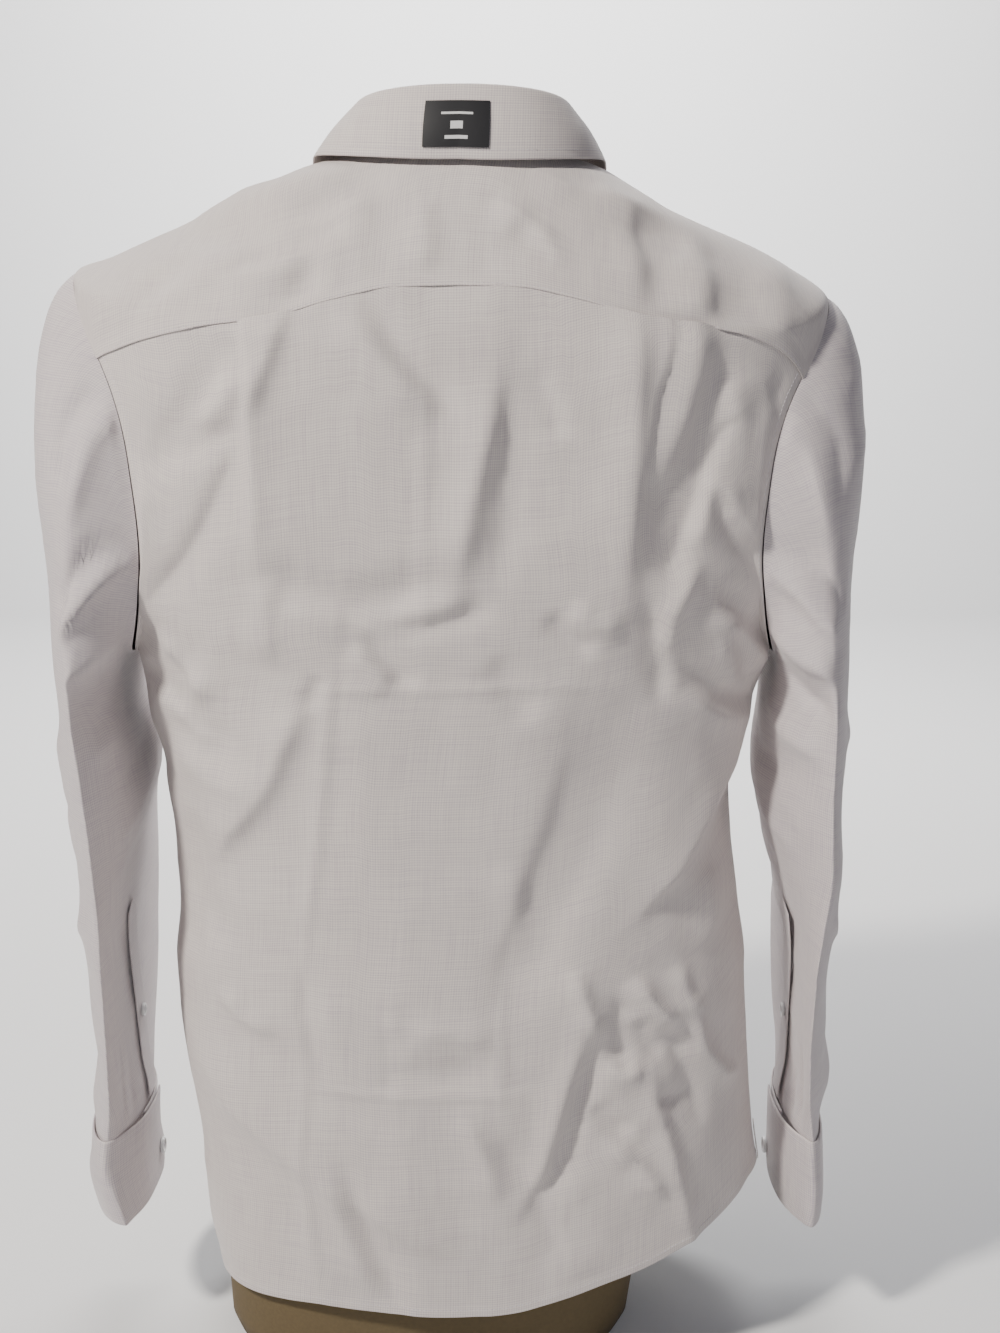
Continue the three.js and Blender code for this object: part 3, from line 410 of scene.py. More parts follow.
def spots(x, z, rows):
    """Soft round patches, each given by a strength, a middle in X and Z, a width and a height."""
    return sum(s * np.exp(-(((x - x0) / w) ** 2) - ((z - z0) / h) ** 2) for s, x0, z0, w, h in rows)


def layered(x, z, layers):
    """The sum of several kinds of crumple: each has its function, scale, seed and height."""
    return sum(height * kind(x, z, scale, seed) for kind, scale, seed, height in layers)


print("noise lattice", LATTICE, "by", LATTICE)

# %% Creases of the back
# Height, width to the left and to the right of its direction, sharpness, and points in X and Z.
SHOULDER_CREASES = [
    (-3.0, 9, 9, 1.6, [(-37, 707), (-109, 671), (-174, 672)]),
    (2.4, 8, 11, 1.5, [(-50, 702), (-100, 690), (-160, 681)]),
    (-3.0, 8, 9, 1.6, [(45, 706), (85, 685), (111, 671), (149, 655)]),
    (2.2, 8, 10, 1.5, [(60, 702), (100, 686), (150, 670)]),
    (-1.8, 6, 6, 1.5, [(29, 676), (55, 652)]), (-2.0, 7, 7, 1.5, [(-76, 668), (-84, 648), (-92, 628)]),
    (2.2, 7, 12, 1.5, [(80, 702), (94, 680), (100, 655), (100, 630)]),
    (-2.2, 8, 8, 1.5, [(98, 684), (111, 656), (112, 626)]),
    (2.4, 7, 10, 1.5, [(130, 676), (140, 650), (137, 620)]),
    (-2.4, 10, 10, 1.5, [(146, 668), (156, 645), (154, 614)]),
    (2.2, 8, 10, 1.5, [(176, 660), (186, 640), (182, 606)]),
    (-1.8, 7, 7, 1.5, [(-150, 662), (-176, 640), (-190, 622)]),
    (1.8, 7, 9, 1.5, [(-118, 664), (-150, 642), (-176, 628)]),
    (1.6, 6, 9, 1.5, [(-24, 690), (-18, 664), (-22, 644)]),
    (4.0, 12, 7, 1.4, [(-58, 708), (-96, 696), (-140, 690), (-176, 676)]),
    (3.4, 11, 6, 1.4, [(-40, 692), (-84, 672), (-128, 664)]),
    (-3.2, 6, 7, 1.4, [(-52, 682), (-92, 664), (-130, 652)]),
    (3.0, 10, 6, 1.4, [(-62, 664), (-100, 650), (-140, 640)]),
    (3.2, 6, 11, 1.4, [(40, 704), (76, 690), (118, 676)]),
    (2.6, 6, 10, 1.4, [(20, 690), (46, 668), (58, 648)]),
]
UPPER_CREASES = [
    (-3.4, 5, 5, 1.3, [(-57, 638), (-42, 622), (-33, 607), (-18, 592), (-8, 581), (-2, 565)]),
    (2.6, 5, 12, 1.4, [(-70, 630), (-52, 612), (-40, 596), (-24, 580), (-14, 566)]),
    (3.0, 4, 14, 1.3, [(-96, 632), (-106, 604), (-112, 588), (-117, 570)]),
    (2.6, 9, 4, 1.3, [(-112, 600), (-116, 585), (-118, 568), (-118, 520), (-117, 480)]),
    (-2.8, 9, 9, 1.5, [(-132, 606), (-146, 582), (-160, 564), (-178, 548)]),
    (3.0, 10, 8, 1.4, [(-118, 596), (-132, 578), (-150, 560)]),
    (-3.4, 8, 10, 1.5, [(-120, 566), (-140, 557), (-165, 549), (-186, 540)]),
    (-3.8, 14, 5, 1.25, [(-122, 560), (-134, 534), (-148, 506), (-158, 490), (-176, 470), (-192, 452)]),
    (-3.2, 6, 9, 1.4, [(-212, 600), (-200, 562), (-189, 543)]),
    (2.8, 8, 5, 1.3, [(-189, 545), (-184, 520), (-190, 480), (-195, 445)]),
    (-4.8, 12, 9, 1.5, [(-112, 490), (-92, 470), (-66, 463), (-40, 467), (-8, 480)]),
    (2.8, 8, 12, 1.4, [(-104, 468), (-84, 456), (-60, 452)]),
    (-3.2, 8, 6, 1.4, [(-46, 447), (-20, 449), (4, 456), (22, 464)]),
    (2.8, 6, 9, 1.3, [(-44, 456), (-16, 459), (8, 468)]),
    (-3.6, 5, 4.5, 1.2, [(-58, 448), (-44, 432), (-34, 421), (-22, 414)]),
    (2.6, 4, 9, 1.3, [(-62, 440), (-50, 426), (-38, 414)]),
    (-2.6, 4, 5, 1.2, [(-80, 420), (-87, 409), (-90, 398)]),
    (2.6, 6, 12, 1.4, [(-110, 478), (-113, 450), (-112, 424)]),
    (5.0, 6, 15, 1.25, [(22, 604), (19, 570), (13, 545), (7, 520), (2, 495), (-2, 466)]),
    (-3.2, 12, 8, 1.5, [(24, 600), (31, 560), (27, 510), (22, 470)]),
    (-2.2, 5, 6, 1.3, [(40, 598), (50, 575), (58, 554)]),
    (4.6, 7, 20, 1.4, [(99, 644), (99, 600), (98, 560), (97, 520), (95, 480), (97, 444)]),
    (4.4, 9, 15, 1.4, [(133, 640), (133, 592), (128, 570), (121, 548), (116, 520)]),
    (-3.6, 14, 8, 1.6, [(150, 632), (150, 598), (140, 572), (128, 545), (120, 515), (112, 490)]),
    (2.8, 8, 8, 1.3, [(150, 590), (158, 574), (150, 550)]),
    (-3.8, 5, 5, 1.2, [(160, 570), (147, 556), (140, 545), (137, 528)]),
    (-4.2, 5, 8, 1.2, [(139, 538), (132, 514), (126, 496), (118, 474)]),
    (3.4, 9, 5, 1.2, [(147, 542), (140, 514), (134, 492)]),
    (-3.2, 5, 6, 1.3, [(144, 532), (152, 510), (165, 492), (182, 476)]),
    (2.6, 9, 5, 1.3, [(150, 536), (160, 514), (176, 496)]),
    (4.2, 6, 5, 1.15, [(139, 489), (130, 470), (122, 455), (120, 436), (121, 422)]),
    (-4.4, 5, 7, 1.2, [(106, 466), (114, 446), (118, 424), (117, 396)]),
    (-4.0, 8, 10, 1.4, [(184, 594), (192, 568), (206, 542)]),
    (2.8, 6, 9, 1.3, [(178, 592), (184, 560), (186, 524), (180, 490)]),
    (-3.6, 5, 5, 1.2, [(165, 446), (170, 426), (177, 402)]),
    (2.8, 5, 10, 1.3, [(152, 442), (160, 420), (166, 400)]),
    (-3.6, 5, 6, 1.2, [(51, 458), (60, 446), (70, 439), (80, 436)]),
    (3.2, 6, 10, 1.3, [(64, 464), (76, 452), (96, 450)]),
    (-2.8, 9, 10, 1.5, [(16, 432), (30, 410), (46, 394)]),
    (-5.6, 8, 10, 1.3, [(150, 472), (172, 452), (198, 428)]),
    (5.0, 6, 11, 1.2, [(144, 460), (168, 440), (192, 414)]),
    (-4.4, 7, 8, 1.3, [(126, 430), (158, 404), (186, 392)]),
    (3.4, 5, 8, 1.2, [(128, 408), (158, 388), (184, 382)]),
    (-4.8, 9, 11, 1.4, [(-202, 446), (-180, 424), (-158, 408)]),
    (4.2, 6, 10, 1.2, [(-186, 442), (-165, 418), (-146, 400)]),
    (-3.8, 8, 8, 1.4, [(-198, 420), (-166, 392)]),
    (3.2, 6, 8, 1.2, [(-198, 410), (-160, 380), (-138, 372)]),
]
LOWER_CREASES = [
    (5.2, 6, 19, 1.25,
     [(-88, 414), (-98, 392), (-106, 374), (-114, 354), (-126, 336), (-142, 318), (-156, 292)]),
    (-3.8, 12, 12, 1.6, [(-188, 392), (-164, 382), (-132, 374)]),
    (3.4, 10, 12, 1.5, [(-178, 368), (-150, 352), (-120, 346)]),
    (-3.2, 10, 10, 1.5, [(-168, 330), (-162, 290), (-150, 238)]),
    (-2.6, 6, 6, 1.3, [(-172, 300), (-168, 262), (-172, 226)]),
    (-2.2, 6, 2.5, 1.3, [(-98, 238), (-97, 205), (-93, 182), (-82, 164)]),
    (6.0, 22, 12, 1.5, [(-180, 198), (-162, 164), (-138, 138), (-100, 110), (-66, 88), (-28, 66), (14, 48)]),
    (-3.0, 12, 14, 1.6, [(-144, 208), (-112, 180), (-86, 158), (-36, 128)]),
    (3.0, 6, 5, 1.3, [(-154, 218), (-136, 201), (-114, 191)]),
    (-4.2, 6, 5, 1.15, [(-75, 118), (-69, 96), (-62, 74), (-54, 48), (-44, 24), (-36, 6)]),
    (3.0, 5, 9, 1.2, [(-86, 106), (-76, 74), (-66, 46), (-54, 18)]),
    (1.6, 3, 5, 1.3, [(-98, 102), (-95, 60), (-92, 14)]),
    (-2.4, 9, 8, 1.6, [(-46, 176), (-16, 172), (20, 176)]),
    (2.0, 7, 8, 1.5, [(-32, 200), (-6, 202), (22, 196)]),
    (-2.0, 5, 7, 1.4, [(-43, 204), (-42, 180), (-44, 156)]),
    (3.4, 8, 12, 1.4, [(29, 308), (34, 272), (37, 240)]),
    (-8.0, 20, 24, 1.8, [(87, 412), (84, 360), (67, 316), (47, 280), (29, 236), (24, 196)]),
    (3.0, 8, 14, 1.4, [(62, 384), (48, 330), (34, 290), (20, 250), (11, 210)]),
    (6.4, 4.5, 22, 1.15, [(178, 394), (160, 350), (146, 322), (128, 294), (102, 266)]),
    (-3.6, 8, 8, 1.4, [(178, 342), (160, 305), (144, 274)]),
    (2.6, 6, 9, 1.3, [(150, 300), (156, 262), (150, 236)]),
    (4.4, 4, 8, 1.1, [(67, 240), (76, 215), (82, 194)]),
    (-5.0, 6, 6, 1.3, [(95, 224), (98, 196), (96, 166)]),
    (5.0, 4, 8, 1.1, [(104, 232), (118, 212), (133, 196)]),
    (-5.2, 6, 8, 1.25, [(86, 198), (72, 150), (63, 116), (48, 80)]),
    (5.0, 4, 9, 1.1, [(74, 200), (60, 150), (50, 112), (33, 76)]),
    (5.0, 4, 9, 1.1, [(112, 176), (127, 120), (149, 36)]),
    (-4.4, 5, 6, 1.2, [(79, 150), (92, 138), (106, 129)]),
    (4.6, 4, 7, 1.1, [(142, 204), (150, 176), (164, 156), (179, 146)]),
    (-4.2, 5, 6, 1.2, [(125, 200), (142, 160), (151, 126)]),
    (3.8, 4, 6, 1.1, [(84, 129), (108, 112), (126, 82)]),
    (-3.4, 6, 8, 1.3, [(18, 134), (44, 96), (62, 46)]), (3.2, 5, 8, 1.2, [(0, 154), (14, 116), (23, 88)]),
    (-4.0, 5, 5, 1.2, [(108, 206), (114, 188), (124, 176)]),
    (3.6, 4, 6, 1.1, [(88, 178), (100, 170), (112, 172)]),
    (3.4, 4, 6, 1.1, [(132, 236), (138, 214), (150, 200)]),
    (-3.4, 5, 5, 1.2, [(118, 152), (132, 146), (146, 150)]),
]
# The creases of the pressed and folded shirt, thin and nearly straight.
PRESSED_CREASES = [
    (1.3, 2.2, 4, 1.4, [(-72, 450), (-80, 370), (-88, 300), (-98, 232)]),
    (0.9, 1.9, 1.9, 1.6, [(-98, 232), (-99, 120), (-99, 6)]),
    (0.9, 1.9, 1.9, 1.6, [(-110, 413), (-30, 412), (90, 414)]),
    (0.9, 1.9, 1.9, 1.6, [(-110, 159), (52, 159)]),
    (0.7, 1.8, 1.8, 1.6, [(24, 230), (23, 140)]), (0.7, 1.8, 1.8, 1.6, [(-41, 230), (-41, 140)]),
    (0.8, 1.9, 1.9, 1.6, [(-18, 620), (-20, 520), (-22, 430)]),
]
CREASE_GAIN = 1.3
BACK_CREASES = SHOULDER_CREASES + UPPER_CREASES + LOWER_CREASES + PRESSED_CREASES
print("creases behind", len(BACK_CREASES))

# %% Creases of the front
FRONT_CREASES = [
    (-4.0, 10, 14, 1.4, [(-58, 622), (-92, 588), (-124, 556)]),
    (3.0, 7, 12, 1.2, [(-48, 600), (-84, 566), (-112, 540)]),
    (-4.0, 10, 14, 1.4, [(55, 612), (88, 582), (128, 548)]),
    (3.0, 7, 12, 1.2, [(46, 588), (80, 556), (118, 528)]),
    (4.2, 7, 16, 1.2, [(-78, 520), (-124, 482), (-178, 438)]),
    (-3.6, 12, 9, 1.4, [(-96, 478), (-140, 440), (-176, 414)]),
    (4.2, 7, 16, 1.2, [(68, 506), (120, 468), (174, 432)]),
    (-3.6, 12, 9, 1.4, [(88, 470), (130, 434), (166, 404)]),
    (3.2, 6, 10, 1.15, [(-128, 440), (-156, 412), (-180, 396)]),
    (3.2, 6, 10, 1.15, [(120, 430), (150, 408), (176, 392)]),
    (5.0, 9, 20, 1.3, [(-68, 420), (-100, 378), (-130, 336)]),
    (-5.0, 22, 18, 1.6, [(60, 402), (92, 360), (122, 316)]),
    (-5.0, 18, 20, 1.6, [(-152, 332), (-104, 296), (-58, 268)]),
    (4.6, 8, 18, 1.25, [(150, 352), (116, 312), (80, 280)]),
    (4.6, 8, 18, 1.25, [(-122, 242), (-88, 192), (-58, 148)]),
    (4.2, 8, 18, 1.25, [(46, 252), (80, 208), (112, 168)]),
    (-3.8, 9, 12, 1.4, [(-40, 182), (-60, 124), (-82, 68)]),
    (-3.8, 9, 12, 1.4, [(130, 182), (112, 132), (92, 88)]),
    (3.4, 5, 10, 1.1, [(34, 122), (46, 82), (62, 36)]),
    (2.8, 5, 8, 1.1, [(-120, 130), (-106, 88), (-100, 48)]),
    (0.8, 1.9, 1.9, 1.6, [(-95, 560), (-99, 300), (-97, 40)]),
    (0.8, 1.9, 1.9, 1.6, [(90, 560), (94, 300), (92, 40)]),
    (0.7, 1.9, 1.9, 1.6, [(-150, 412), (150, 412)]), (0.7, 1.9, 1.9, 1.6, [(-140, 160), (140, 160)]),
]
print("creases in front", len(FRONT_CREASES))

# %% [markdown]
# ## Making a sheet of cloth
# Cloth is a grid of points with a thickness. The map called `cut` holds each point's place on the flat
# cloth, measured along the rows and columns, so that the weave runs true over every fold. Solidify
# gives the thickness, after which the sheet and its own numbers are kept in a list.

# %% Sheets
CLOTH_THICK = 0.7
MERGE = 1e-6  # points this close, in metres, are one point
SHEETS = []


def cut_map(rows):
    """Each point's place on the flat cloth: measured along its row and up its column, in metres."""
    across = np.linalg.norm(np.diff(rows, axis=1), axis=2)
    u = np.concatenate([np.zeros((len(rows), 1)), np.cumsum(across, axis=1)], axis=1)
    u -= u[:, [u.shape[1] // 2]]
    up = np.linalg.norm(np.diff(rows, axis=0), axis=2)
    v = np.concatenate([np.zeros((1, rows.shape[1])), np.cumsum(up, axis=0)])
    return np.stack([u, v], -1)


def grid_object(name, rows, closed=False, cut=None):
    """A mesh of quads on a grid of points in metres; a closed grid's last column lies on its first."""
    rows_count, columns = rows.shape[:2]
    corner = np.arange(rows_count * columns).reshape(rows_count, columns)
    faces = np.stack([corner[:-1, :-1], corner[:-1, 1:], corner[1:, 1:], corner[1:, :-1]], -1)
    mesh = bpy.data.meshes.new(name)
    mesh.from_pydata(rows.reshape(-1, 3).tolist(), [], faces.reshape(-1, 4).tolist())
    flat = (cut_map(rows) if cut is None else cut).reshape(-1, 2)
    layer = mesh.uv_layers.new(name="cut")
    corners = np.empty(len(mesh.loops), int)
    mesh.loops.foreach_get("vertex_index", corners)
    layer.data.foreach_set("uv", flat[corners].ravel())
    if closed:
        shell = bmesh.new()
        shell.from_mesh(mesh)
        bmesh.ops.remove_doubles(shell, verts=shell.verts, dist=MERGE)
        shell.to_mesh(mesh)
        shell.free()
    piece = bpy.data.objects.new(name, mesh)
    bpy.context.scene.collection.objects.link(piece)
    return piece


def apply_modifiers(piece):
    bpy.ops.object.select_all(action="DESELECT")
    piece.select_set(True)
    bpy.context.view_layer.objects.active = piece
    for modifier in list(piece.modifiers):
        bpy.ops.object.modifier_apply(modifier=modifier.name)


def smooth_shading(piece, degrees=75):
    bpy.ops.object.select_all(action="DESELECT")
    piece.select_set(True)
    bpy.context.view_layer.objects.active = piece
    bpy.ops.object.shade_smooth_by_angle(angle=math.radians(degrees))
    bpy.ops.object.select_all(action="DESELECT")


def thicken(piece, thick):
    """Gives a sheet its thickness, half on each side of its grid."""
    solidify = piece.modifiers.new("thickness", "SOLIDIFY")
    solidify.thickness = thick * MM
    solidify.offset = 0


def make_sheet(
    name, rows, node, thick=CLOTH_THICK, closed=False, soft_edge=False, held="draped", rests_on="form",
):
    """Makes one cut piece of cloth from a grid in millimetres, in place of its solid."""
    rows = (np.asarray(rows) + (0, 0, TABLE_ZERO)) * MM
    cut = cut_map(rows)
    piece = grid_object(name, rows, closed, cut)
    area = sum(p.area for p in piece.data.polygons)
    thicken(piece, thick)
    if soft_edge:
        subsurf = piece.modifiers.new("soft edge", "SUBSURF")
        subsurf.levels = subsurf.render_levels = 1
    apply_modifiers(piece)
    smooth_shading(piece)
    width = float(np.ptp(cut[..., 0]))
    length = float(np.ptp(cut[..., 1]))
    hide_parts(node)
    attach(piece, "root")
    SHEETS.append((piece, (width, length), held, rests_on, min(area, width * length)))
    print(name, "cut", round(width, 3), "x", round(length, 3), "m, faces", len(piece.data.polygons))
    return piece


def evenly(count):
    return np.linspace(0, 1, count + 1)


# %% [markdown]
# ## Stitches
# A seam on a shirt is held by a row of small lockstitches, about ten to the inch. Each is a short
# grain of thread that lies on the cloth, so one grain is shaped from a few points and laid along a
# line that runs at a set distance from a piece's edge.

# %% Stitch rows
STITCH_PITCH, STITCH_LONG, STITCH_WIDE, STITCH_HIGH, STITCH_SUNK = 2.6, 1.9, 0.42, 0.24, 0.1
BESIDE, AHEAD = 1.0, 0.8  # how far off the two points lie that give a stitch its directions
STITCHES = []


def inset_line(rows, distance):
    """The line on a grid of points that lies at a distance from its first row."""
    steps = np.linalg.norm(np.diff(rows, axis=0), axis=2)
    done = np.concatenate([np.zeros((1, rows.shape[1])), np.cumsum(steps, axis=0)])
    k = np.clip((done < distance).sum(0) - 1, 0, len(rows) - 2)
    columns = np.arange(rows.shape[1])
    t = (distance - done[k, columns]) / (done[k + 1, columns] - done[k, columns])
    return mix(rows[k, columns], rows[k + 1, columns], t[:, None])


def sew(rows, distance, middle, thick=CLOTH_THICK):
    """Lays stitches at a distance from a grid's first row, on the side away from a middle (X, Y)."""
    line = inset_line(rows, distance)
    beside = inset_line(rows, distance + BESIDE)
    done = np.concatenate([[0], np.cumsum(np.linalg.norm(np.diff(line, axis=0), axis=1))])
    places = np.arange(STITCH_PITCH, done[-1] - STITCH_PITCH, STITCH_PITCH)

    def at(where, points):
        return np.stack([np.interp(where, done, points[:, k]) for k in range(3)], -1)

    centre = at(places, line)
    along, aside = unit(at(places + AHEAD, line) - centre), unit(at(places, beside) - centre)
    out = unit(np.cross(along, aside))
    away = centre[:, :2] - np.array(middle)
    out *= np.where((out[:, :2] * away).sum(1) < 0, -1, 1)[:, None]
    for place, way, side, up in zip(centre, along, np.cross(out, along), out):
        STITCHES.append(place + (0, 0, TABLE_ZERO) + up * (thick / 2) + np.array([
            -way * STITCH_LONG / 2, side * STITCH_WIDE / 2, up * STITCH_HIGH, -side * STITCH_WIDE / 2,
            way * STITCH_LONG / 2, -up * STITCH_SUNK,
        ]))


# %% [markdown]
# ## The back panel
# The back runs from the curved shirt-tail hem up to the yoke. A pressed pleat lies under each end of
# the yoke: the middle cloth is folded over the side cloth, which shows as a ledge that fades out
# half way down. The hem is turned up twice and stitched, a narrow band a little proud of the rest.

# %% Panel rows and edges
LOWER_ROWS = 160
ARMHOLE_STOPS = [180, 162, 143, 124, 106, 90, 77, 64, 52]
ARMHOLE_ROWS = 84
HEM_BAND, HEM_LIFT, HEM_STEP = 6.0, 0.45, 0.6
HEM_STITCH = HEM_BAND - 1.2  # from the hem's edge to its stitches
EDGE_FREE = (0.02, 0.14)  # a panel's creases grow between these shares of its width from an edge


def armhole_rows(stops):
    """Degrees round the armhole, its part of the panel's height at the edge, and in the middle."""
    index = np.linspace(0, len(stops) - 1, ARMHOLE_ROWS + 1)[1:]
    degrees = np.interp(index, np.arange(len(stops)), stops)
    top = armhole_level(stops[-1])
    edge = (armhole_level(degrees) - UNDERARM) / (top - UNDERARM)
    return degrees, edge, index / (len(stops) - 1)


def hem_band(height_over_hem):
    return HEM_LIFT * (1 - smooth(height_over_hem, HEM_BAND - HEM_STEP, HEM_BAND + HEM_STEP))


# %% Back panel
# Each pleat's folded edge: its X by height.
PLEAT_EDGES = {
    -1: Table([(470, -117), (570, -118), (587, -116), (600, -119), (628, -120)]),
    1: Table([(470, 95), (505, 98), (520, 100), (540, 104), (560, 107), (580, 110), (600, 116), (625, 120)]),
}
PLEAT_LIFT, PLEAT_FALL, PLEAT_STEP = 2.0, 22, 3.0
PLEAT_ENDS, PLEAT_FULL = 470, 570  # the heights where a ledge fades out and where it is whole
BACK_COLUMNS = 180


def pleat_ledge(x, z):
    """How far the centre cloth stands over the side cloth at the two pleats."""
    total = np.zeros(np.shape(x))
    for sign, edge in PLEAT_EDGES.items():
        inwards = sign * (edge(z)[0] - x)
        over = np.exp(-((inwards / PLEAT_FALL) ** 2))
        total += np.where(inwards > 0, over, smooth(inwards, -PLEAT_STEP, 0))
    return PLEAT_LIFT * total * smooth(z, PLEAT_ENDS, PLEAT_FULL)


def back_grid():
    s = np.linspace(-1, 1, BACK_COLUMNS + 1)[None, :]
    t = evenly(LOWER_ROWS)[:, None]
    turn = mix(side_seam("left", SEAM_FOOT), side_seam("right", SEAM_FOOT), (s + 1) / 2)
    low_level = mix(hem_level(turn), UNDERARM, t)
    low_angle = mix(side_seam("left", low_level), side_seam("right", low_level), (s + 1) / 2)
    degrees, edge_part, inner_part = armhole_rows(ARMHOLE_STOPS)
    edge_part, inner_part, degrees = edge_part[:, None], inner_part[:, None], degrees[:, None]
    part = mix(edge_part, inner_part, smooth(1 - np.abs(s), 0, 0.5))
    _, seam_level = yoke_seam(s)
    high_level = mix(UNDERARM, seam_level, part)
    high_angle = math.pi / 2 * s * armhole_inset(armhole_angle(degrees), np.abs(s), edge_part)
    angle = np.concatenate([low_angle, high_angle])
    level = np.concatenate([low_level, high_level])
    over_hem = level - np.broadcast_to(hem_level(turn), level.shape)
    return np.broadcast_to(s, level.shape), angle, level, over_hem


# Where the back was crushed most: strength, middle in X and Z, width and height of each patch.
CRUSHED = [
    (1.7, 105, 165, 52, 74), (0.7, 55, 70, 50, 50), (0.8, 150, 420, 40, 40), (0.7, -165, 420, 36, 36),
]
CRUSHED_ALL_OVER = 0.35
BACK_FACETS = (22, 3)
BACK_LAYERS = [(crumple, 60, 9, 0.35), (crumple, 110, 11, 0.9)]
# The room for a trough under the cloth, below and above, and the levels between which it narrows.
ROOM_LOW, ROOM_HIGH, ROOM_NARROWS = 6.0, 3.0, (540, 620)
BODY_MIDDLE = (-6, 0)
ARMHOLE_STITCH = 5.0

s, angle, level, over_hem = back_grid()
point = body_point(angle, level)
x, z = point[..., 0], point[..., 2]
inside = smooth(1 - np.abs(s), *EDGE_FREE)
crushed = spots(x, z, CRUSHED) + CRUSHED_ALL_OVER
fine = facets(x, z, *BACK_FACETS) * crushed + layered(x, z, BACK_LAYERS)
creased = CREASE_GAIN * crease_lift(x, z, BACK_CREASES) + fine
room = mix(ROOM_LOW, ROOM_HIGH, smooth(level, *ROOM_NARROWS))
lift = inside * held_off(creased, room) + pleat_ledge(x, z) + hem_band(over_hem)
back_rows = point + body_out(angle, level) * lift[..., None]
make_sheet("shirt_back", back_rows, "back_panel")
sew(back_rows, HEM_STITCH, BODY_MIDDLE)
for columns in (back_rows.transpose(1, 0, 2), back_rows[:, ::-1].transpose(1, 0, 2)):
    sew(columns[:, LOWER_ROWS + 2:], ARMHOLE_STITCH, BODY_MIDDLE)

# %% [markdown]
# ## The yoke
# One piece of cloth crosses the back and comes over both shoulders to a seam on each front. Its edge
# is turned under and lies on the panels, so it is lifted a little at its seams.

# %% Yoke
YOKE_ROWS = 40
NECK_FRONT_SEAM = math.radians(124)
YOKE_OVER, YOKE_LAP = 1.0, 1.6  # how far it stands over the back panel, and how far it laps over it
YOKE_ROOM = 2.4
YOKE_STITCH = 1.8
YOKE_LAYERS = [(crumple, 40, 5, 0.4), (facets, 20, 6, 0.35)]

tip_degrees = np.linspace(YOKE_CORNER, FRONT_CORNER, 41)[1:]
tip_angle = armhole_angle(tip_degrees)
tip_level = armhole_level(tip_degrees)
seam_angle, seam_level = yoke_seam(np.linspace(-1, 1, 121))
edge_angle = np.concatenate([-tip_angle[::-1], seam_angle, tip_angle])[None, :]
edge_level = np.concatenate([tip_level[::-1], seam_level, tip_level])[None, :]
t = evenly(YOKE_ROWS)[:, None]
angle = mix(edge_angle, edge_angle / tip_angle[-1] * NECK_FRONT_SEAM, t)
level = mix(edge_level, NECK_LEVEL, t)
point = body_point(angle, level)
x, z = point[..., 0], point[..., 2]
inside = smooth(t, 0, 0.12) * smooth(1 - t, 0, 0.1) * smooth(np.cos(angle), 0.0, 0.35)
on_back = smooth(np.cos(angle), 0.25, 0.5) * (1 - smooth(t, 0.0, 0.1))
creased = CREASE_GAIN * crease_lift(x, z, BACK_CREASES) + layered(x, z, YOKE_LAYERS)
lift = inside * held_off(creased, YOKE_ROOM) + YOKE_OVER * on_back
yoke_rows = point + body_out(angle, level) * lift[..., None]
yoke_rows[0] -= unit(yoke_rows[1] - yoke_rows[0]) * (YOKE_LAP * on_back[0])[:, None]
make_sheet("shirt_yoke", yoke_rows, "back_yoke")
seam_columns = slice(len(tip_angle) + 1, -len(tip_angle) - 1)
sew(yoke_rows[:, seam_columns], YOKE_STITCH, BODY_MIDDLE)

# %% [markdown]
# ## The fronts
# The left front laps over the right one, and a row of stitches runs down its edge. Both are plain,
# because the front is out of sight in the picture and a plain front is common on such a shirt.

# %% Fronts
OVERLAP, OVERLAP_LIFT = 16, 2.3
FRONT_GAIN = 1.2
FRONT_STOPS = [-d for d in ARMHOLE_STOPS] + [FRONT_CORNER]
FRONT_COLUMNS, LAP_COLUMNS, NECK_ROWS = 64, 8, 24
FRONT_ROOM = 5.0
FRONT_EDGE_STITCH = 4.0
FRONT_LAYERS = [(crumple, 50, 21, 0.35), (crumple, 110, 27, 0.7), (facets, 22, 23, 0.2)]


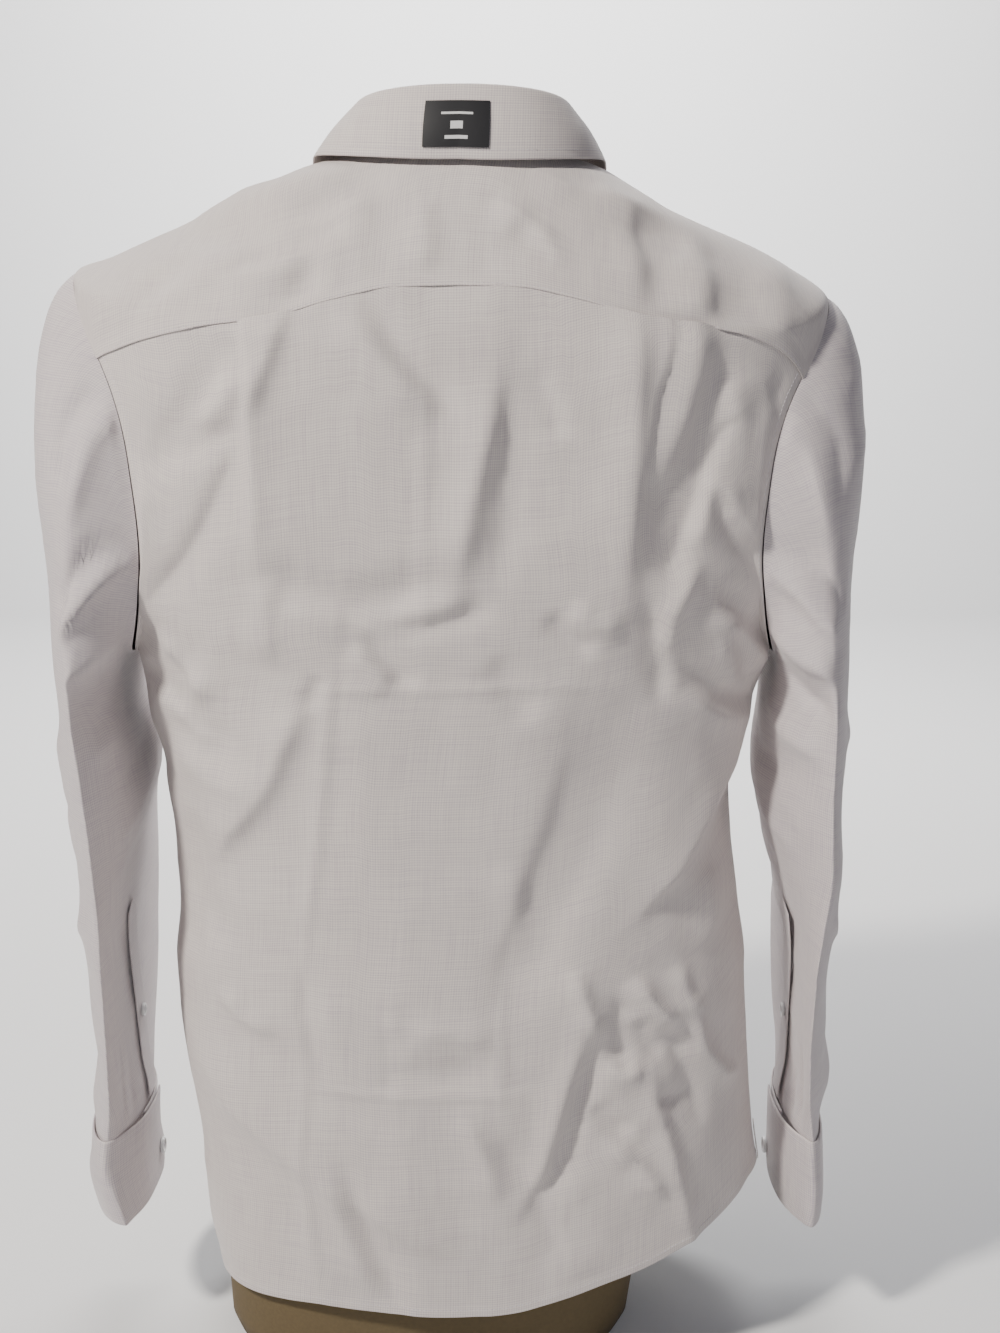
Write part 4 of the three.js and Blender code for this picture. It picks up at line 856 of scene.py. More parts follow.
def front_grid(side):
    sign = 1 if side == "right" else -1
    s = np.concatenate([evenly(FRONT_COLUMNS), 1 + evenly(LAP_COLUMNS)[1:]])[None, :]
    inner = np.minimum(s, 1)
    foot = armhole_level(FRONT_CORNER)
    t = evenly(LOWER_ROWS)[:, None]
    start = abs(float(side_seam(side, SEAM_FOOT)))
    low_level = mix(hem_level(sign * mix(start, math.pi, inner)), UNDERARM, t)
    low_edge = np.abs(side_seam(side, low_level))
    degrees, edge_part, inner_part = armhole_rows(FRONT_STOPS)
    degrees, edge_part, inner_part = degrees[:, None], edge_part[:, None], inner_part[:, None]
    high_level = mix(UNDERARM, foot, mix(edge_part, inner_part, smooth(inner, 0, 0.5)))
    high_edge = np.broadcast_to(armhole_angle(degrees), high_level.shape)
    up = evenly(NECK_ROWS)[1:, None]
    neck_level = np.broadcast_to(mix(foot, NECK_LEVEL, up), (NECK_ROWS, s.shape[1]))
    neck_edge = np.broadcast_to(mix(armhole_angle(FRONT_CORNER), NECK_FRONT_SEAM, up), neck_level.shape)
    level = np.concatenate([low_level, high_level, neck_level])
    edge = np.concatenate([low_edge, high_edge, neck_edge])
    half = BODY(level)[1]
    centre = math.pi - np.arctan2(OVERLAP / half, 1)
    drawn = edge - math.pi / 2
    sudden = np.minimum(INSET_SLOPE * math.pi / 2 / np.maximum(drawn, 1e-3), INSET_SUDDEN)
    curve = np.where(drawn > 0, mix(sudden, INSET_EVEN, np.minimum(level / foot, 1) ** 4), 1)
    angle = mix(math.pi / 2, centre, inner) + drawn * (1 - inner) ** curve
    angle = np.where(s > 1, mix(centre, 2 * math.pi - centre, s - 1), angle)
    over_hem = level - hem_level(sign * mix(start, math.pi, inner))
    return np.broadcast_to(s, level.shape), sign * angle, level, over_hem


for side in ("left", "right"):
    s, angle, level, over_hem = front_grid(side)
    point = body_point(angle, level)
    x, z = point[..., 0], point[..., 2]
    inside = smooth(s, *EDGE_FREE) * smooth(1 - s, -0.05, 0.2) * (1 - smooth(level, 655, 690))
    creased = FRONT_GAIN * crease_lift(x, z, FRONT_CREASES) + layered(x, z, FRONT_LAYERS)
    lift = inside * held_off(creased, FRONT_ROOM) + hem_band(over_hem)
    if side == "left":
        lift = lift + OVERLAP_LIFT * smooth(s, 0.55, 0.95)
    rows = point + body_out(angle, level) * lift[..., None]
    if side == "left":
        rows = rows[:, ::-1]
    make_sheet(f"shirt_front_{side}", rows, f"front_{side}")
    sew(rows, HEM_STITCH, BODY_MIDDLE)
    if side == "left":
        sew(rows.transpose(1, 0, 2), FRONT_EDGE_STITCH, BODY_MIDDLE)

# %% [markdown]
# ## Sleeves
# The sleeves hang empty and were pressed flat, so each section is a lens with a sharp crease at the
# back and front. The head is sewn into the armhole, and turns from there into the hanging tube. Near
# the cuff two small pleats take in the width beside the placket.

# %% Sleeve tables
SLEEVE_TOP, CUFF_TOP = 380, 104
# Height, outer face, inner face, the creases' X, and the depth back and front.
SLEEVES = {
    "left": Table([
        (380, -256, -213, -230, 93, 90), (350, -255, -203, -227, 92, 88), (320, -253, -207, -225, 90, 86),
        (290, -251, -213, -224, 87, 84), (260, -250, -218, -223, 84, 80), (220, -248, -221, -224, 80, 76),
        (180, -248, -221, -225, 74, 71), (140, -248, -221, -227, 67, 64), (118, -248, -219, -230, 60, 58),
        (104, -249, -219, -232, 57.5, 55.5),
    ]),
    "right": Table([
        (380, 243, 192, 222, 93, 90), (350, 244, 189, 222, 92, 88), (320, 244, 193, 223, 90, 86),
        (290, 243, 199, 224, 87, 84), (260, 243, 208, 222, 84, 80), (220, 242, 215, 219, 80, 76),
        (180, 240, 217, 219, 74, 71), (140, 240, 218, 221, 67, 64), (118, 238, 216, 224, 60, 58),
        (104, 237, 215, 226, 57.5, 55.5),
    ]),
}
CUFFS = {
    "left": Table([
        (104, -251, -217, -233, 59, 57), (84, -253, -218, -234, 60, 58), (69, -256, -218, -230, 59, 57),
        (42, -252, -217, -223, 56, 55),
    ]),
    "right": Table([
        (104, 239, 213, 226, 59, 57), (84, 241, 213, 227, 60, 58), (58, 242, 213, 228, 60, 58),
        (42, 241, 214, 228, 58, 56),
    ]),
}
SLEEVE_SHARP, CUFF_SHARP, FLAT_FROM = 1.7, 1.25, 150
SLEEVE_MIDDLE, ARMHOLE_GAP, UNDERARM_PUSH = 225, 1.1, 1.9
SLEEVE_GAIN = 2.0
SLEEVE_COLUMNS, CAP_ROWS, TUBE_ROWS = 112, 56, 77
# How hard a cap's rows leave the armhole and arrive at the tube, as shares of their length.
CAP_LEAVES, CAP_ARRIVES, CAP_CROWDS = 0.55, 0.95, 1.1


print("sleeve rows", {side: len(table.at) for side, table in SLEEVES.items()})


# %% Sleeve sections
def sleeve_sharp(height):
    """How sharp a sleeve's creases are; they ease to the cuff's near its end."""
    return mix(CUFF_SHARP, SLEEVE_SHARP, np.clip((height - CUFF_TOP) / (FLAT_FROM - CUFF_TOP), 0, 1))


def lens_point(table, height, degrees, sharp):
    outer, inner, crease, back, front = table(height)
    s, c = np.sin(np.radians(degrees)), np.cos(np.radians(degrees))
    x = crease + (np.where(c > 0, outer, inner) - crease) * np.abs(c) ** sharp
    y = np.where(s > 0, -back, -front) * s
    return np.stack([x, y, np.broadcast_to(height, x.shape)], -1)


print("a sleeve's crease is at X", round(float(lens_point(SLEEVES["right"], 200, 90, SLEEVE_SHARP)[0])))

# %% Sleeve folds
# Broad swells, as in the solids: height, degrees round, half height, half width in degrees, lift.
SLEEVE_SWELLS = {
    "left": [(560, 60, 30, 25, 4), (480, 40, 34, 22, -4), (430, 120, 22, 30, 5), (352, 150, 20, 40, -3),
             (330, 30, 26, 30, 4), (285, 340, 24, 30, -4), (300, 215, 22, 28, -3), (240, 60, 26, 26, 3),
             (190, 300, 24, 30, 4), (150, 30, 18, 24, -3), (420, 300, 30, 34, 4)],
    "right": [(548, 50, 30, 26, 4), (478, 36, 34, 24, -4), (436, 130, 22, 30, 6), (352, 150, 18, 34, -4),
              (322, 20, 26, 30, -4), (292, 60, 24, 26, 4), (250, 330, 24, 30, 4), (210, 40, 26, 26, -3),
              (170, 310, 22, 30, -4), (140, 30, 18, 24, 3), (430, 300, 30, 34, 4)],
}
# Creases of each sleeve, with points in degrees round it and height.
SLEEVE_CREASES = {
    "left": [
        (-3.0, 6, 8, 1.3, [(70, 600), (58, 560), (64, 520)]),
        (3.0, 5, 8, 1.2, [(84, 600), (72, 556), (76, 500)]),
        (-3.2, 7, 9, 1.3, [(100, 500), (82, 470), (60, 452)]),
        (3.2, 5, 9, 1.2, [(112, 490), (92, 456), (70, 436)]),
        (3.4, 5, 9, 1.15, [(140, 440), (112, 420), (84, 412)]),
        (-3.4, 7, 8, 1.3, [(150, 420), (122, 402), (96, 398)]),
        (3.0, 5, 8, 1.2, [(170, 400), (140, 372), (112, 362)]),
        (-3.0, 7, 8, 1.3, [(200, 390), (170, 356), (140, 340)]),
        (2.6, 5, 8, 1.2, [(190, 350), (160, 318), (132, 300)]),
        (-2.6, 6, 8, 1.3, [(210, 330), (176, 296), (150, 280)]),
        (2.8, 5, 9, 1.2, [(40, 380), (20, 350), (-8, 332)]),
        (-2.8, 7, 8, 1.3, [(50, 350), (26, 322), (0, 312)]),
        (2.6, 5, 8, 1.2, [(60, 270), (36, 246), (8, 238)]),
        (-2.4, 6, 7, 1.3, [(140, 250), (160, 214), (176, 180)]),
        (-3.0, 4, 6, 1.2, [(128, 104), (130, 130), (134, 168)]),
        (-2.6, 4, 6, 1.2, [(146, 104), (148, 126), (150, 156)]),
        (2.4, 4, 6, 1.2, [(30, 104), (28, 128), (20, 160)]),
        (2.2, 4, 6, 1.2, [(-40, 104), (-42, 126), (-50, 150)]),
    ],
    "right": [
        (-3.0, 6, 8, 1.3, [(66, 596), (54, 552), (60, 512)]),
        (3.0, 5, 8, 1.2, [(82, 592), (70, 546), (74, 496)]),
        (-3.4, 7, 9, 1.3, [(104, 500), (84, 474), (58, 458)]),
        (3.4, 5, 9, 1.2, [(116, 484), (94, 452), (68, 438)]),
        (4.0, 5, 10, 1.15, [(146, 446), (118, 424), (86, 416)]),
        (-4.2, 7, 9, 1.3, [(156, 424), (128, 402), (98, 396)]),
        (3.4, 5, 8, 1.2, [(176, 402), (146, 374), (114, 366)]),
        (-3.4, 7, 8, 1.3, [(206, 392), (174, 356), (142, 342)]),
        (3.0, 5, 8, 1.2, [(196, 346), (166, 314), (136, 300)]),
        (-2.6, 6, 8, 1.3, [(214, 322), (182, 290), (154, 276)]),
        (2.8, 5, 9, 1.2, [(36, 386), (14, 356), (-12, 340)]),
        (-2.8, 7, 8, 1.3, [(46, 350), (22, 324), (-4, 312)]),
        (2.6, 5, 8, 1.2, [(56, 262), (30, 240), (4, 228)]),
        (-2.4, 6, 7, 1.3, [(150, 262), (164, 228), (172, 190)]),
        (-3.0, 4, 6, 1.2, [(126, 104), (128, 132), (134, 170)]),
        (-2.6, 4, 6, 1.2, [(146, 104), (148, 124), (150, 150)]),
        (2.4, 4, 6, 1.2, [(26, 104), (24, 130), (18, 164)]),
        (2.2, 4, 6, 1.2, [(-44, 104), (-46, 126), (-52, 150)]),
    ],
}


print("sleeve creases", {side: len(rows) for side, rows in SLEEVE_CREASES.items()})


# %% Sleeves
def sleeve_swell(side, height, degrees):
    total = np.zeros(np.broadcast(height, degrees).shape)
    for z0, turn, half_height, half_turn, lift in SLEEVE_SWELLS[side]:
        around = (degrees - turn + 180) % 360 - 180
        total += lift * np.exp(-(((height - z0) / half_height) ** 2) - (around / half_turn) ** 2)
    return total


def sleeve_grid(side):
    sign = 1 if side == "right" else -1
    degrees = np.linspace(-180, 180, SLEEVE_COLUMNS + 1)
    angle = sign * armhole_angle(degrees)
    level = armhole_level(degrees)
    under = (1 - np.cos(np.radians(degrees))) / 2
    start = body_point(angle, level) + body_out(angle, level) * (UNDERARM_PUSH * under**2)[:, None]
    start[:, 0] += ARMHOLE_GAP * 0.5 * sign
    end = lens_point(SLEEVES[side], SLEEVE_TOP, degrees, SLEEVE_SHARP)
    arrive = lens_point(SLEEVES[side], SLEEVE_TOP - 12, degrees, SLEEVE_SHARP) - end
    outwards = np.full(len(degrees), 0.9 * sign)
    leave = np.stack([outwards, -0.25 * np.sin(np.radians(degrees)), -0.45 + 0.3 * under], -1)
    length = np.linalg.norm(end - start, axis=1)[:, None]
    leave, arrive = unit(leave) * length * CAP_LEAVES, unit(arrive) * length * CAP_ARRIVES
    t = evenly(CAP_ROWS)[:, None, None] ** CAP_CROWDS
    cap = start * (2 * t**3 - 3 * t**2 + 1) + leave * (t**3 - 2 * t**2 + t)
    cap = cap + end * (3 * t**2 - 2 * t**3) + arrive * (t**3 - t**2)
    heights = np.linspace(SLEEVE_TOP, CUFF_TOP - 2, TUBE_ROWS + 1)[1:, None]
    tube = lens_point(SLEEVES[side], heights, degrees[None, :], sleeve_sharp(heights))
    free = np.concatenate([smooth(t[:, 0, 0], 0, 0.56), np.ones(len(heights))])[::-1, None]
    return degrees, np.concatenate([cap, tube])[::-1], free


def sleeve_out(point, sign):
    """The way out of a sleeve's flat sides, from the line its folds swell away from."""
    away = point[..., 0] - SLEEVE_MIDDLE * sign
    return unit(np.stack([away, point[..., 1] * 0.3, np.zeros_like(away)], -1))


for side in ("left", "right"):
    sign = 1 if side == "right" else -1
    degrees, rows, free = sleeve_grid(side)
    height = rows[..., 2]
    turn = np.broadcast_to(degrees[None, :], height.shape)
    wrap = np.where(turn < -60, turn + 360, turn)
    row_place = np.linspace(0, 1, len(rows))[:, None]
    inside = smooth(1 - row_place, 0.0, 0.05)
    creased = crease_lift(wrap, height, SLEEVE_CREASES[side])
    creased = creased + crease_lift(turn, height, SLEEVE_CREASES[side]) * (wrap != turn)
    seamless = np.cos(np.radians(turn)) * 40
    fine = crumple(seamless + 60 * sign, height + np.sin(np.radians(turn)) * 40, 42, 31 + sign) * 0.5
    faced = SLEEVE_GAIN * mix(0.3, 1.0, 1 - np.abs(np.cos(np.radians(turn))) ** 3)
    lift = inside * (free * sleeve_swell(side, height, turn) + faced * creased + fine)
    rows = rows + sleeve_out(rows, sign) * lift[..., None]
    if side == "left":
        rows = rows[:, ::-1]
    node = f"sleeve_{side}"
    make_sheet(f"shirt_{node}", rows, node, closed=True, held="hung", rests_on="shirt_back")

# %% [markdown]
# ## Cuffs, plackets and gussets
# A cuff is a stiff band, two layers and an interlining, that laps over itself on the inner side and
# is closed by one button. The placket strip finishes the slit above it, and has a button of its own.
# A tiny gusset at each side seam keeps the hem from tearing.

# %% Cuffs
CUFF_END, CUFF_THICK = 42, 1.7
LAP_FROM, LAP_TO, LAP_LIFT = 163, 205, 2.6
CUFF_CORNER = 7  # how much the lapping corner is cut away
CUFF_STITCH = 4.5
for side in ("left", "right"):
    sign = 1 if side == "right" else -1
    degrees = np.linspace(LAP_FROM - 360, LAP_TO, 97)[None, :]
    heights = np.linspace(CUFF_END, CUFF_TOP - 0.4, 17)[:, None]
    rows = lens_point(CUFFS[side], heights, degrees, CUFF_SHARP)
    rows[..., 0] -= sign * LAP_LIFT * smooth(degrees, LAP_FROM - 45, LAP_FROM - 6)
    corner = smooth(degrees, LAP_TO - 9, LAP_TO) ** 2 * smooth(-heights, -CUFF_END - 14, -CUFF_END)
    rows[..., 2] += corner * CUFF_CORNER
    soft = crumple(*np.broadcast_arrays(degrees, heights), 46, 41 + sign) * 0.3
    rows[..., 0] += sign * soft * smooth(degrees, -190, -150) * (1 - smooth(degrees, 120, 150))
    if side == "left":
        rows = rows[:, ::-1]
    sleeve = f"shirt_sleeve_{side}"
    make_sheet(
        f"shirt_cuff_{side}", rows, f"cuff_{side}", CUFF_THICK, soft_edge=True, held="hung", rests_on=sleeve,
    )
    for edge in (rows, rows[::-1]):
        sew(edge, CUFF_STITCH, (SLEEVE_MIDDLE * sign, 0), CUFF_THICK)

# %% Plackets
PLACKET_LOW, PLACKET_HIGH, PLACKET_HALF = 106, 258, 11
PLACKET_FOOT, PLACKET_HEAD, PLACKET_POINT = 8, -24, 9
PLACKET_THICK, PLACKET_OFF = 0.8, 2.1


def placket_point(side, z, across):
    """A point of the placket strip, just off the sleeve's inner face."""
    sign = 1 if side == "right" else -1
    _, _, _, back, front = SLEEVES[side](z)
    part = (z - PLACKET_LOW) / (PLACKET_HIGH - PLACKET_LOW)
    y = mix(PLACKET_FOOT, PLACKET_HEAD, part) + across * PLACKET_HALF
    degrees = 180 - np.degrees(np.arcsin(-y / np.where(y < 0, back, front)))
    point = lens_point(SLEEVES[side], z, degrees, sleeve_sharp(z))
    point = point + sleeve_out(point, sign) * sleeve_swell(side, z, degrees)[..., None]
    point[..., 0] -= sign * PLACKET_OFF
    return point


for side in ("left", "right"):
    across = np.linspace(1, -1, 13) if side == "right" else np.linspace(-1, 1, 13)
    across, t = across[None, :], evenly(40)[:, None]
    z = mix(PLACKET_LOW, PLACKET_HIGH - PLACKET_POINT * np.abs(across), t)
    rows = placket_point(side, z, np.broadcast_to(across, z.shape))
    sleeve = f"shirt_sleeve_{side}"
    make_sheet(
        f"shirt_placket_{side}", rows, f"sleeve_placket_{side}", PLACKET_THICK,
        soft_edge=True, held="stretched", rests_on=sleeve,
    )

# %% Gussets
GUSSET_THICK, GUSSET_OFF, GUSSET_TALL = 0.6, 1.6, 24
GUSSET_FOOT, GUSSET_HEAD = 9, 1.5  # half its width below and above
BODY_RADIUS = 112  # at the side seam, from a width to an angle

for side in ("left", "right"):
    t, across = evenly(10)[:, None], np.linspace(-1, 1, 9)[None, :]
    foot = hem_level(side_seam(side, SEAM_FOOT)) + 3
    level = foot + t * GUSSET_TALL
    angle = side_seam(side, level) + across * mix(GUSSET_FOOT, GUSSET_HEAD, t) / BODY_RADIUS
    rows = body_point(angle, level) + body_out(angle, level) * GUSSET_OFF
    node = f"hem_gusset_{side}"
    make_sheet(f"shirt_gusset_{side}", rows, node, GUSSET_THICK, held="stretched", rests_on="shirt_back")

# %% [markdown]
# ## Collar
# The stand is a band round the neck, and the leaf is sewn to its top, turns over a soft roll and falls
# outside it to the shoulders, down to a point on each front.

# %% Collar stand and leaf
# The stand's top: half width, depths, heights and squareness.
STAND = {
    "half": 61, "back": 52, "front": 53, "square": 2.6,
    "back_height": 752, "side_height": 747, "front_height": 694,
}
# The leaf's edge: degrees along the stand, then degrees round the body and level.
LEAF_EDGE = Table([
    (0, 0, 719.5), (40, 40, 718), (90, 90, 715.5), (130, 124, 710), (155, 145, 700), (174, 161, 686),
])
COLLAR_THICK, COLLAR_STITCH = 1.3, 5.5
STAND_ENDS, LEAF_ENDS = math.radians(193), math.radians(174)
ROLL = 0.1  # the share of the leaf that lies over the stand's top
STAND_OFF, STAND_LIFT, STAND_LAP = 1.1, 1.3, 1.3
LEAF_OFF, LEAF_BOW = 4.6, 2.4
# The leaf over the stand at its seam, its crest and outside: how far out, and how high.
LEAF_SEAM, LEAF_CREST, LEAF_OUTSIDE = (0.0, 1.2), (1.3, 3.4), (3.4, 1.5)


def stand_top(angle, grow=0.0):
    s, c = np.sin(angle), np.cos(angle)
    rounding = (np.abs(s) ** STAND["square"] + np.abs(c) ** STAND["square"]) ** (-1 / STAND["square"])
    depth = np.where(c > 0, STAND["back"], STAND["front"]) + grow
    end = np.where(c > 0, STAND["back_height"], STAND["front_height"])
    height = mix(STAND["side_height"], end, np.abs(c) ** 1.5)
    return np.stack([1 + (STAND["half"] + grow) * s * rounding, -depth * c * rounding, height], -1)


def collar_out(angle):
    return np.stack([np.sin(angle), -np.cos(angle), np.zeros_like(angle)], -1)


def stand_point(angle, up):
    foot = body_point(angle, NECK_LEVEL)
    foot[..., 2] += STAND_OFF + STAND_LIFT * smooth(np.abs(angle), math.radians(140), math.radians(165))
    lap = smooth(np.abs(angle), math.radians(150), math.radians(174)) * STAND_LAP * -np.sign(angle)
    return mix(foot, stand_top(angle), up[..., None]) + collar_out(angle) * lap[..., None]


def leaf_point(angle, down):
    """The leaf: over the stand's top at first, then out and down to its edge."""
    turn, level = LEAF_EDGE(np.abs(np.degrees(angle)))
    edge_angle = np.sign(angle) * np.radians(turn)
    edge = body_point(edge_angle, level) + body_out(edge_angle, level) * LEAF_OFF
    seam, crest, outside = (
        stand_top(angle, off) + (0, 0, high) for off, high in (LEAF_SEAM, LEAF_CREST, LEAF_OUTSIDE)
    )
    roll = np.clip(down / ROLL, 0, 1)[..., None]
    over = mix(mix(seam, crest, roll), mix(crest, outside, roll), roll)
    part = np.clip((down - ROLL) / (1 - ROLL), 0, 1)
    bow = collar_out(angle) * (LEAF_BOW * np.sin(math.pi * part))[..., None]
    return np.where((down <= ROLL)[..., None], over, mix(outside, edge, part[..., None]) + bow)


angle = np.linspace(-STAND_ENDS, STAND_ENDS, 121)[None, :]
up = evenly(14)[:, None]
angle, up = np.broadcast_arrays(angle, up)
stand_rows = stand_point(angle, up)
make_sheet(
    "shirt_collar_stand", stand_rows, "collar_stand", COLLAR_THICK, soft_edge=True, held="stretched",
)

angle = np.linspace(-LEAF_ENDS, LEAF_ENDS, 121)[None, :]
down = np.concatenate([np.linspace(0, ROLL, 7), ROLL + (1 - ROLL) * evenly(18)[1:]])[::-1, None]
angle, down = np.broadcast_arrays(angle, down)
leaf_rows = leaf_point(angle, down)
soft = crumple(np.degrees(angle) * 1.1, down * 60, 52, 51) * 0.35 * smooth(down, 0.2, 0.5)
leaf_rows = leaf_rows + collar_out(angle) * soft[..., None]
make_sheet(
    "shirt_collar_leaf", leaf_rows, "collar_leaf", COLLAR_THICK,
    soft_edge=True, held="folded", rests_on="shirt_collar_stand",
)
sew(leaf_rows, COLLAR_STITCH, (1, 0), COLLAR_THICK)

# %% [markdown]
# ## The label
# A small black sticker sits on the leaf's back. It carries no words, only three plain light bars where
# a size would be printed.

# %% Label
LABEL_FOOT = 0.93  # the leaf widens downwards, so the label's foot takes in a smaller angle
LABEL_LEFT, LABEL_RIGHT, LABEL_LOW, LABEL_HIGH = -17.6, 15.0, 0.86, 0.3
LABEL_THICK, LABEL_OFF = 0.35, 0.5
down = np.linspace(LABEL_LOW, LABEL_HIGH, 15)[:, None]
narrowed = mix(LABEL_FOOT, 1.0, (LABEL_LOW - down) / (LABEL_LOW - LABEL_HIGH))
across = np.arctan2(np.linspace(LABEL_LEFT, LABEL_RIGHT, 25)[None, :] * narrowed / STAND["half"], 1)
across, down = np.broadcast_arrays(across, down)
out = surface_out(lambda a, d: leaf_point(a, -d), across, -down, 0.03, 0.03)
label_rows = leaf_point(across, down) + out * (COLLAR_THICK / 2 + LABEL_OFF)
label = grid_object("shirt_label", (label_rows + (0, 0, TABLE_ZERO)) * MM)
thicken(label, LABEL_THICK)
apply_modifiers(label)
smooth_shading(label)
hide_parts("size_label")
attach(label, "root")
print("label", [round(float(v), 1) for v in np.ptp(label_rows.reshape(-1, 3), axis=0)], "mm")

# %% [markdown]
# ## Buttons
# A sew-on shirt button is turned from one disc: a raised rim, a dished middle and four holes, held by
# crossed thread. It is modelled once and copied to each seat, which is the middle of its solid.

# %% One button
BUTTON_RADIUS, BUTTON_THICK, BUTTON_DISH = 5.5, 2.2, 0.8
HOLE_RADIUS, HOLE_OUT, THREAD_RADIUS = 0.75, 1.35, 0.34
THREAD_LONG, THREAD_HIGH = 2.7, 1.62


def model_button(radius=BUTTON_RADIUS, thick=BUTTON_THICK):
    bpy.ops.object.select_all(action="DESELECT")
    middle = (0, 0, thick / 2)
    bpy.ops.mesh.primitive_cylinder_add(vertices=40, radius=radius, depth=thick, location=middle)
    button = bpy.context.object
    bpy.ops.object.transform_apply(location=True)
    bpy.ops.object.mode_set(mode="EDIT")
    bpy.ops.mesh.select_all(action="DESELECT")
    edit = bmesh.from_edit_mesh(button.data)
    for face in edit.faces:
        face.select = face.normal.z > 0.9
    bmesh.update_edit_mesh(button.data)
    bpy.ops.mesh.inset(thickness=radius * 0.3)
    bpy.ops.mesh.inset(thickness=radius * 0.08)
    bpy.ops.transform.translate(value=(0, 0, -BUTTON_DISH))
    bpy.ops.mesh.select_all(action="DESELECT")
    edit = bmesh.from_edit_mesh(button.data)
    for edge in edit.edges:
        rim = [math.hypot(v.co.x, v.co.y) > radius * 0.66 for v in edge.verts]
        flat = abs(edge.verts[0].co.z - edge.verts[1].co.z) < 1e-4
        edge.select = all(rim) and flat
    bmesh.update_edit_mesh(button.data)
    bpy.ops.mesh.bevel(offset=0.35, segments=3, affect="EDGES")
    bpy.ops.object.mode_set(mode="OBJECT")
    drill = []
    for k in range(4):
        turn = math.pi / 4 + k * math.pi / 2
        place = (HOLE_OUT * math.cos(turn), HOLE_OUT * math.sin(turn), 1)
        bpy.ops.mesh.primitive_cylinder_add(vertices=14, radius=HOLE_RADIUS, depth=6, location=place)
        drill.append(bpy.context.object)
    for hole in drill:
        cut = button.modifiers.new("hole", "BOOLEAN")
        cut.object = hole
        cut.solver = "EXACT"
    apply_modifiers(button)
    for hole in drill:
        bpy.data.objects.remove(hole)
    smooth_shading(button, 35)
    return button


button_model = model_button()
print("button faces", len(button_model.data.polygons))


# %% One thread
def model_thread():
    bpy.ops.object.select_all(action="DESELECT")
    strands = []
    for turn in (45, 135):
        laid = (0, math.radians(90), math.radians(turn))
        bpy.ops.mesh.primitive_cylinder_add(
            vertices=10, radius=THREAD_RADIUS, depth=THREAD_LONG, location=(0, 0, THREAD_HIGH), rotation=laid,
        )
        strands.append(bpy.context.object)
    for strand in strands:
        strand.select_set(True)
    bpy.context.view_layer.objects.active = strands[0]
    bpy.ops.object.join()
    bpy.ops.object.transform_apply(location=True, rotation=True)
    thread = bpy.context.object
    smooth_shading(thread, 40)
    return thread


thread_model = model_thread()
print("thread faces", len(thread_model.data.polygons))

# %% A button on each seat
BUTTONS = [f"front_button_{n}" for n in range(1, 8)] + ["collar_button"]
BUTTONS += [f"{kind}_button_{side}" for kind in ("cuff", "placket") for side in ("left", "right")]


def seat_of(node):
    """The middle of a button's back, the way it faces, and its size, from its solid."""
    mesh = frame["nodes"][node].data
    points = np.array([v.co[:] for v in mesh.vertices])
    middle = (points.min(0) + points.max(0)) / 2
    spread = np.linalg.svd(points - points.mean(0), full_matrices=False)
    out = spread[2][2]
    on_front = "front" in node or node == "collar_button"
    sleeve_middle = math.copysign(SLEEVE_MIDDLE * MM, middle[0])
    towards = np.array([0, 1, 0] if on_front else [middle[0] - sleeve_middle, 0, 0])
    out = out * (1 if np.dot(out, towards) >= 0 else -1)
    depth = np.ptp(points @ out)
    radius = np.max(np.linalg.norm(np.cross(points - middle, out), axis=1))
    return middle - out * depth / 2, out, radius


for node in BUTTONS:
    seat, out, radius = seat_of(node)
    turned = Vector(out).to_track_quat("Z", "Y").to_matrix().to_4x4()
    place = Matrix.Translation(seat) @ turned @ Matrix.Scale(radius / BUTTON_RADIUS, 4)
    button = bpy.data.objects.new(f"button_{node}", button_model.data.copy())
    button.data.transform(place)
    bpy.context.scene.collection.objects.link(button)
    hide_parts(node)
    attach(button, "root")
    thread = bpy.data.objects.new(f"thread_{node}", thread_model.data.copy())
    thread.data.transform(place)
    bpy.context.scene.collection.objects.link(thread)
    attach(thread, "root")
bpy.data.objects.remove(button_model)
bpy.data.objects.remove(thread_model)
print("buttons", len(BUTTONS))

# %% [markdown]
# ## The dress form
# Under the shirt stands a padded torso covered in olive-brown cloth. Its solid already has the right
# shape, so a copy of it is merged and subdivided until it is smooth, with its flat base kept sharp.

# %% Form
ANY_ANGLE = 3.2  # more than half a turn, so that every pair of triangles may join


def smooth_copy(node, name, levels, sharp_below):
    source = frame["nodes"][node]
    piece = bpy.data.objects.new(name, source.data.copy())
    bpy.context.scene.collection.objects.link(piece)
    piece.data.materials.clear()
    shell = bmesh.new()
    shell.from_mesh(piece.data)
    bmesh.ops.remove_doubles(shell, verts=shell.verts, dist=MERGE)
    bmesh.ops.join_triangles(
        shell, faces=shell.faces, angle_face_threshold=ANY_ANGLE, angle_shape_threshold=ANY_ANGLE,
    )
    crease = shell.edges.layers.float.new("crease_edge")
    for edge in shell.edges:
        low = all(v.co.z < sharp_below for v in edge.verts)
        edge[crease] = 0.9 if low and edge.calc_face_angle(0) > 1 else 0
    shell.to_mesh(piece.data)
    shell.free()
    subsurf = piece.modifiers.new("smooth", "SUBSURF")
    subsurf.levels = subsurf.render_levels = levels
    apply_modifiers(piece)
    smooth_shading(piece, 60)
    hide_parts(node)
    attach(piece, "root")
    return piece


form = smooth_copy("form_torso", "form", 2, 0.001)
cap = smooth_copy("form_neck_cap", "form_neck_plate", 1, 1.0)
print("form faces", len(form.data.polygons))
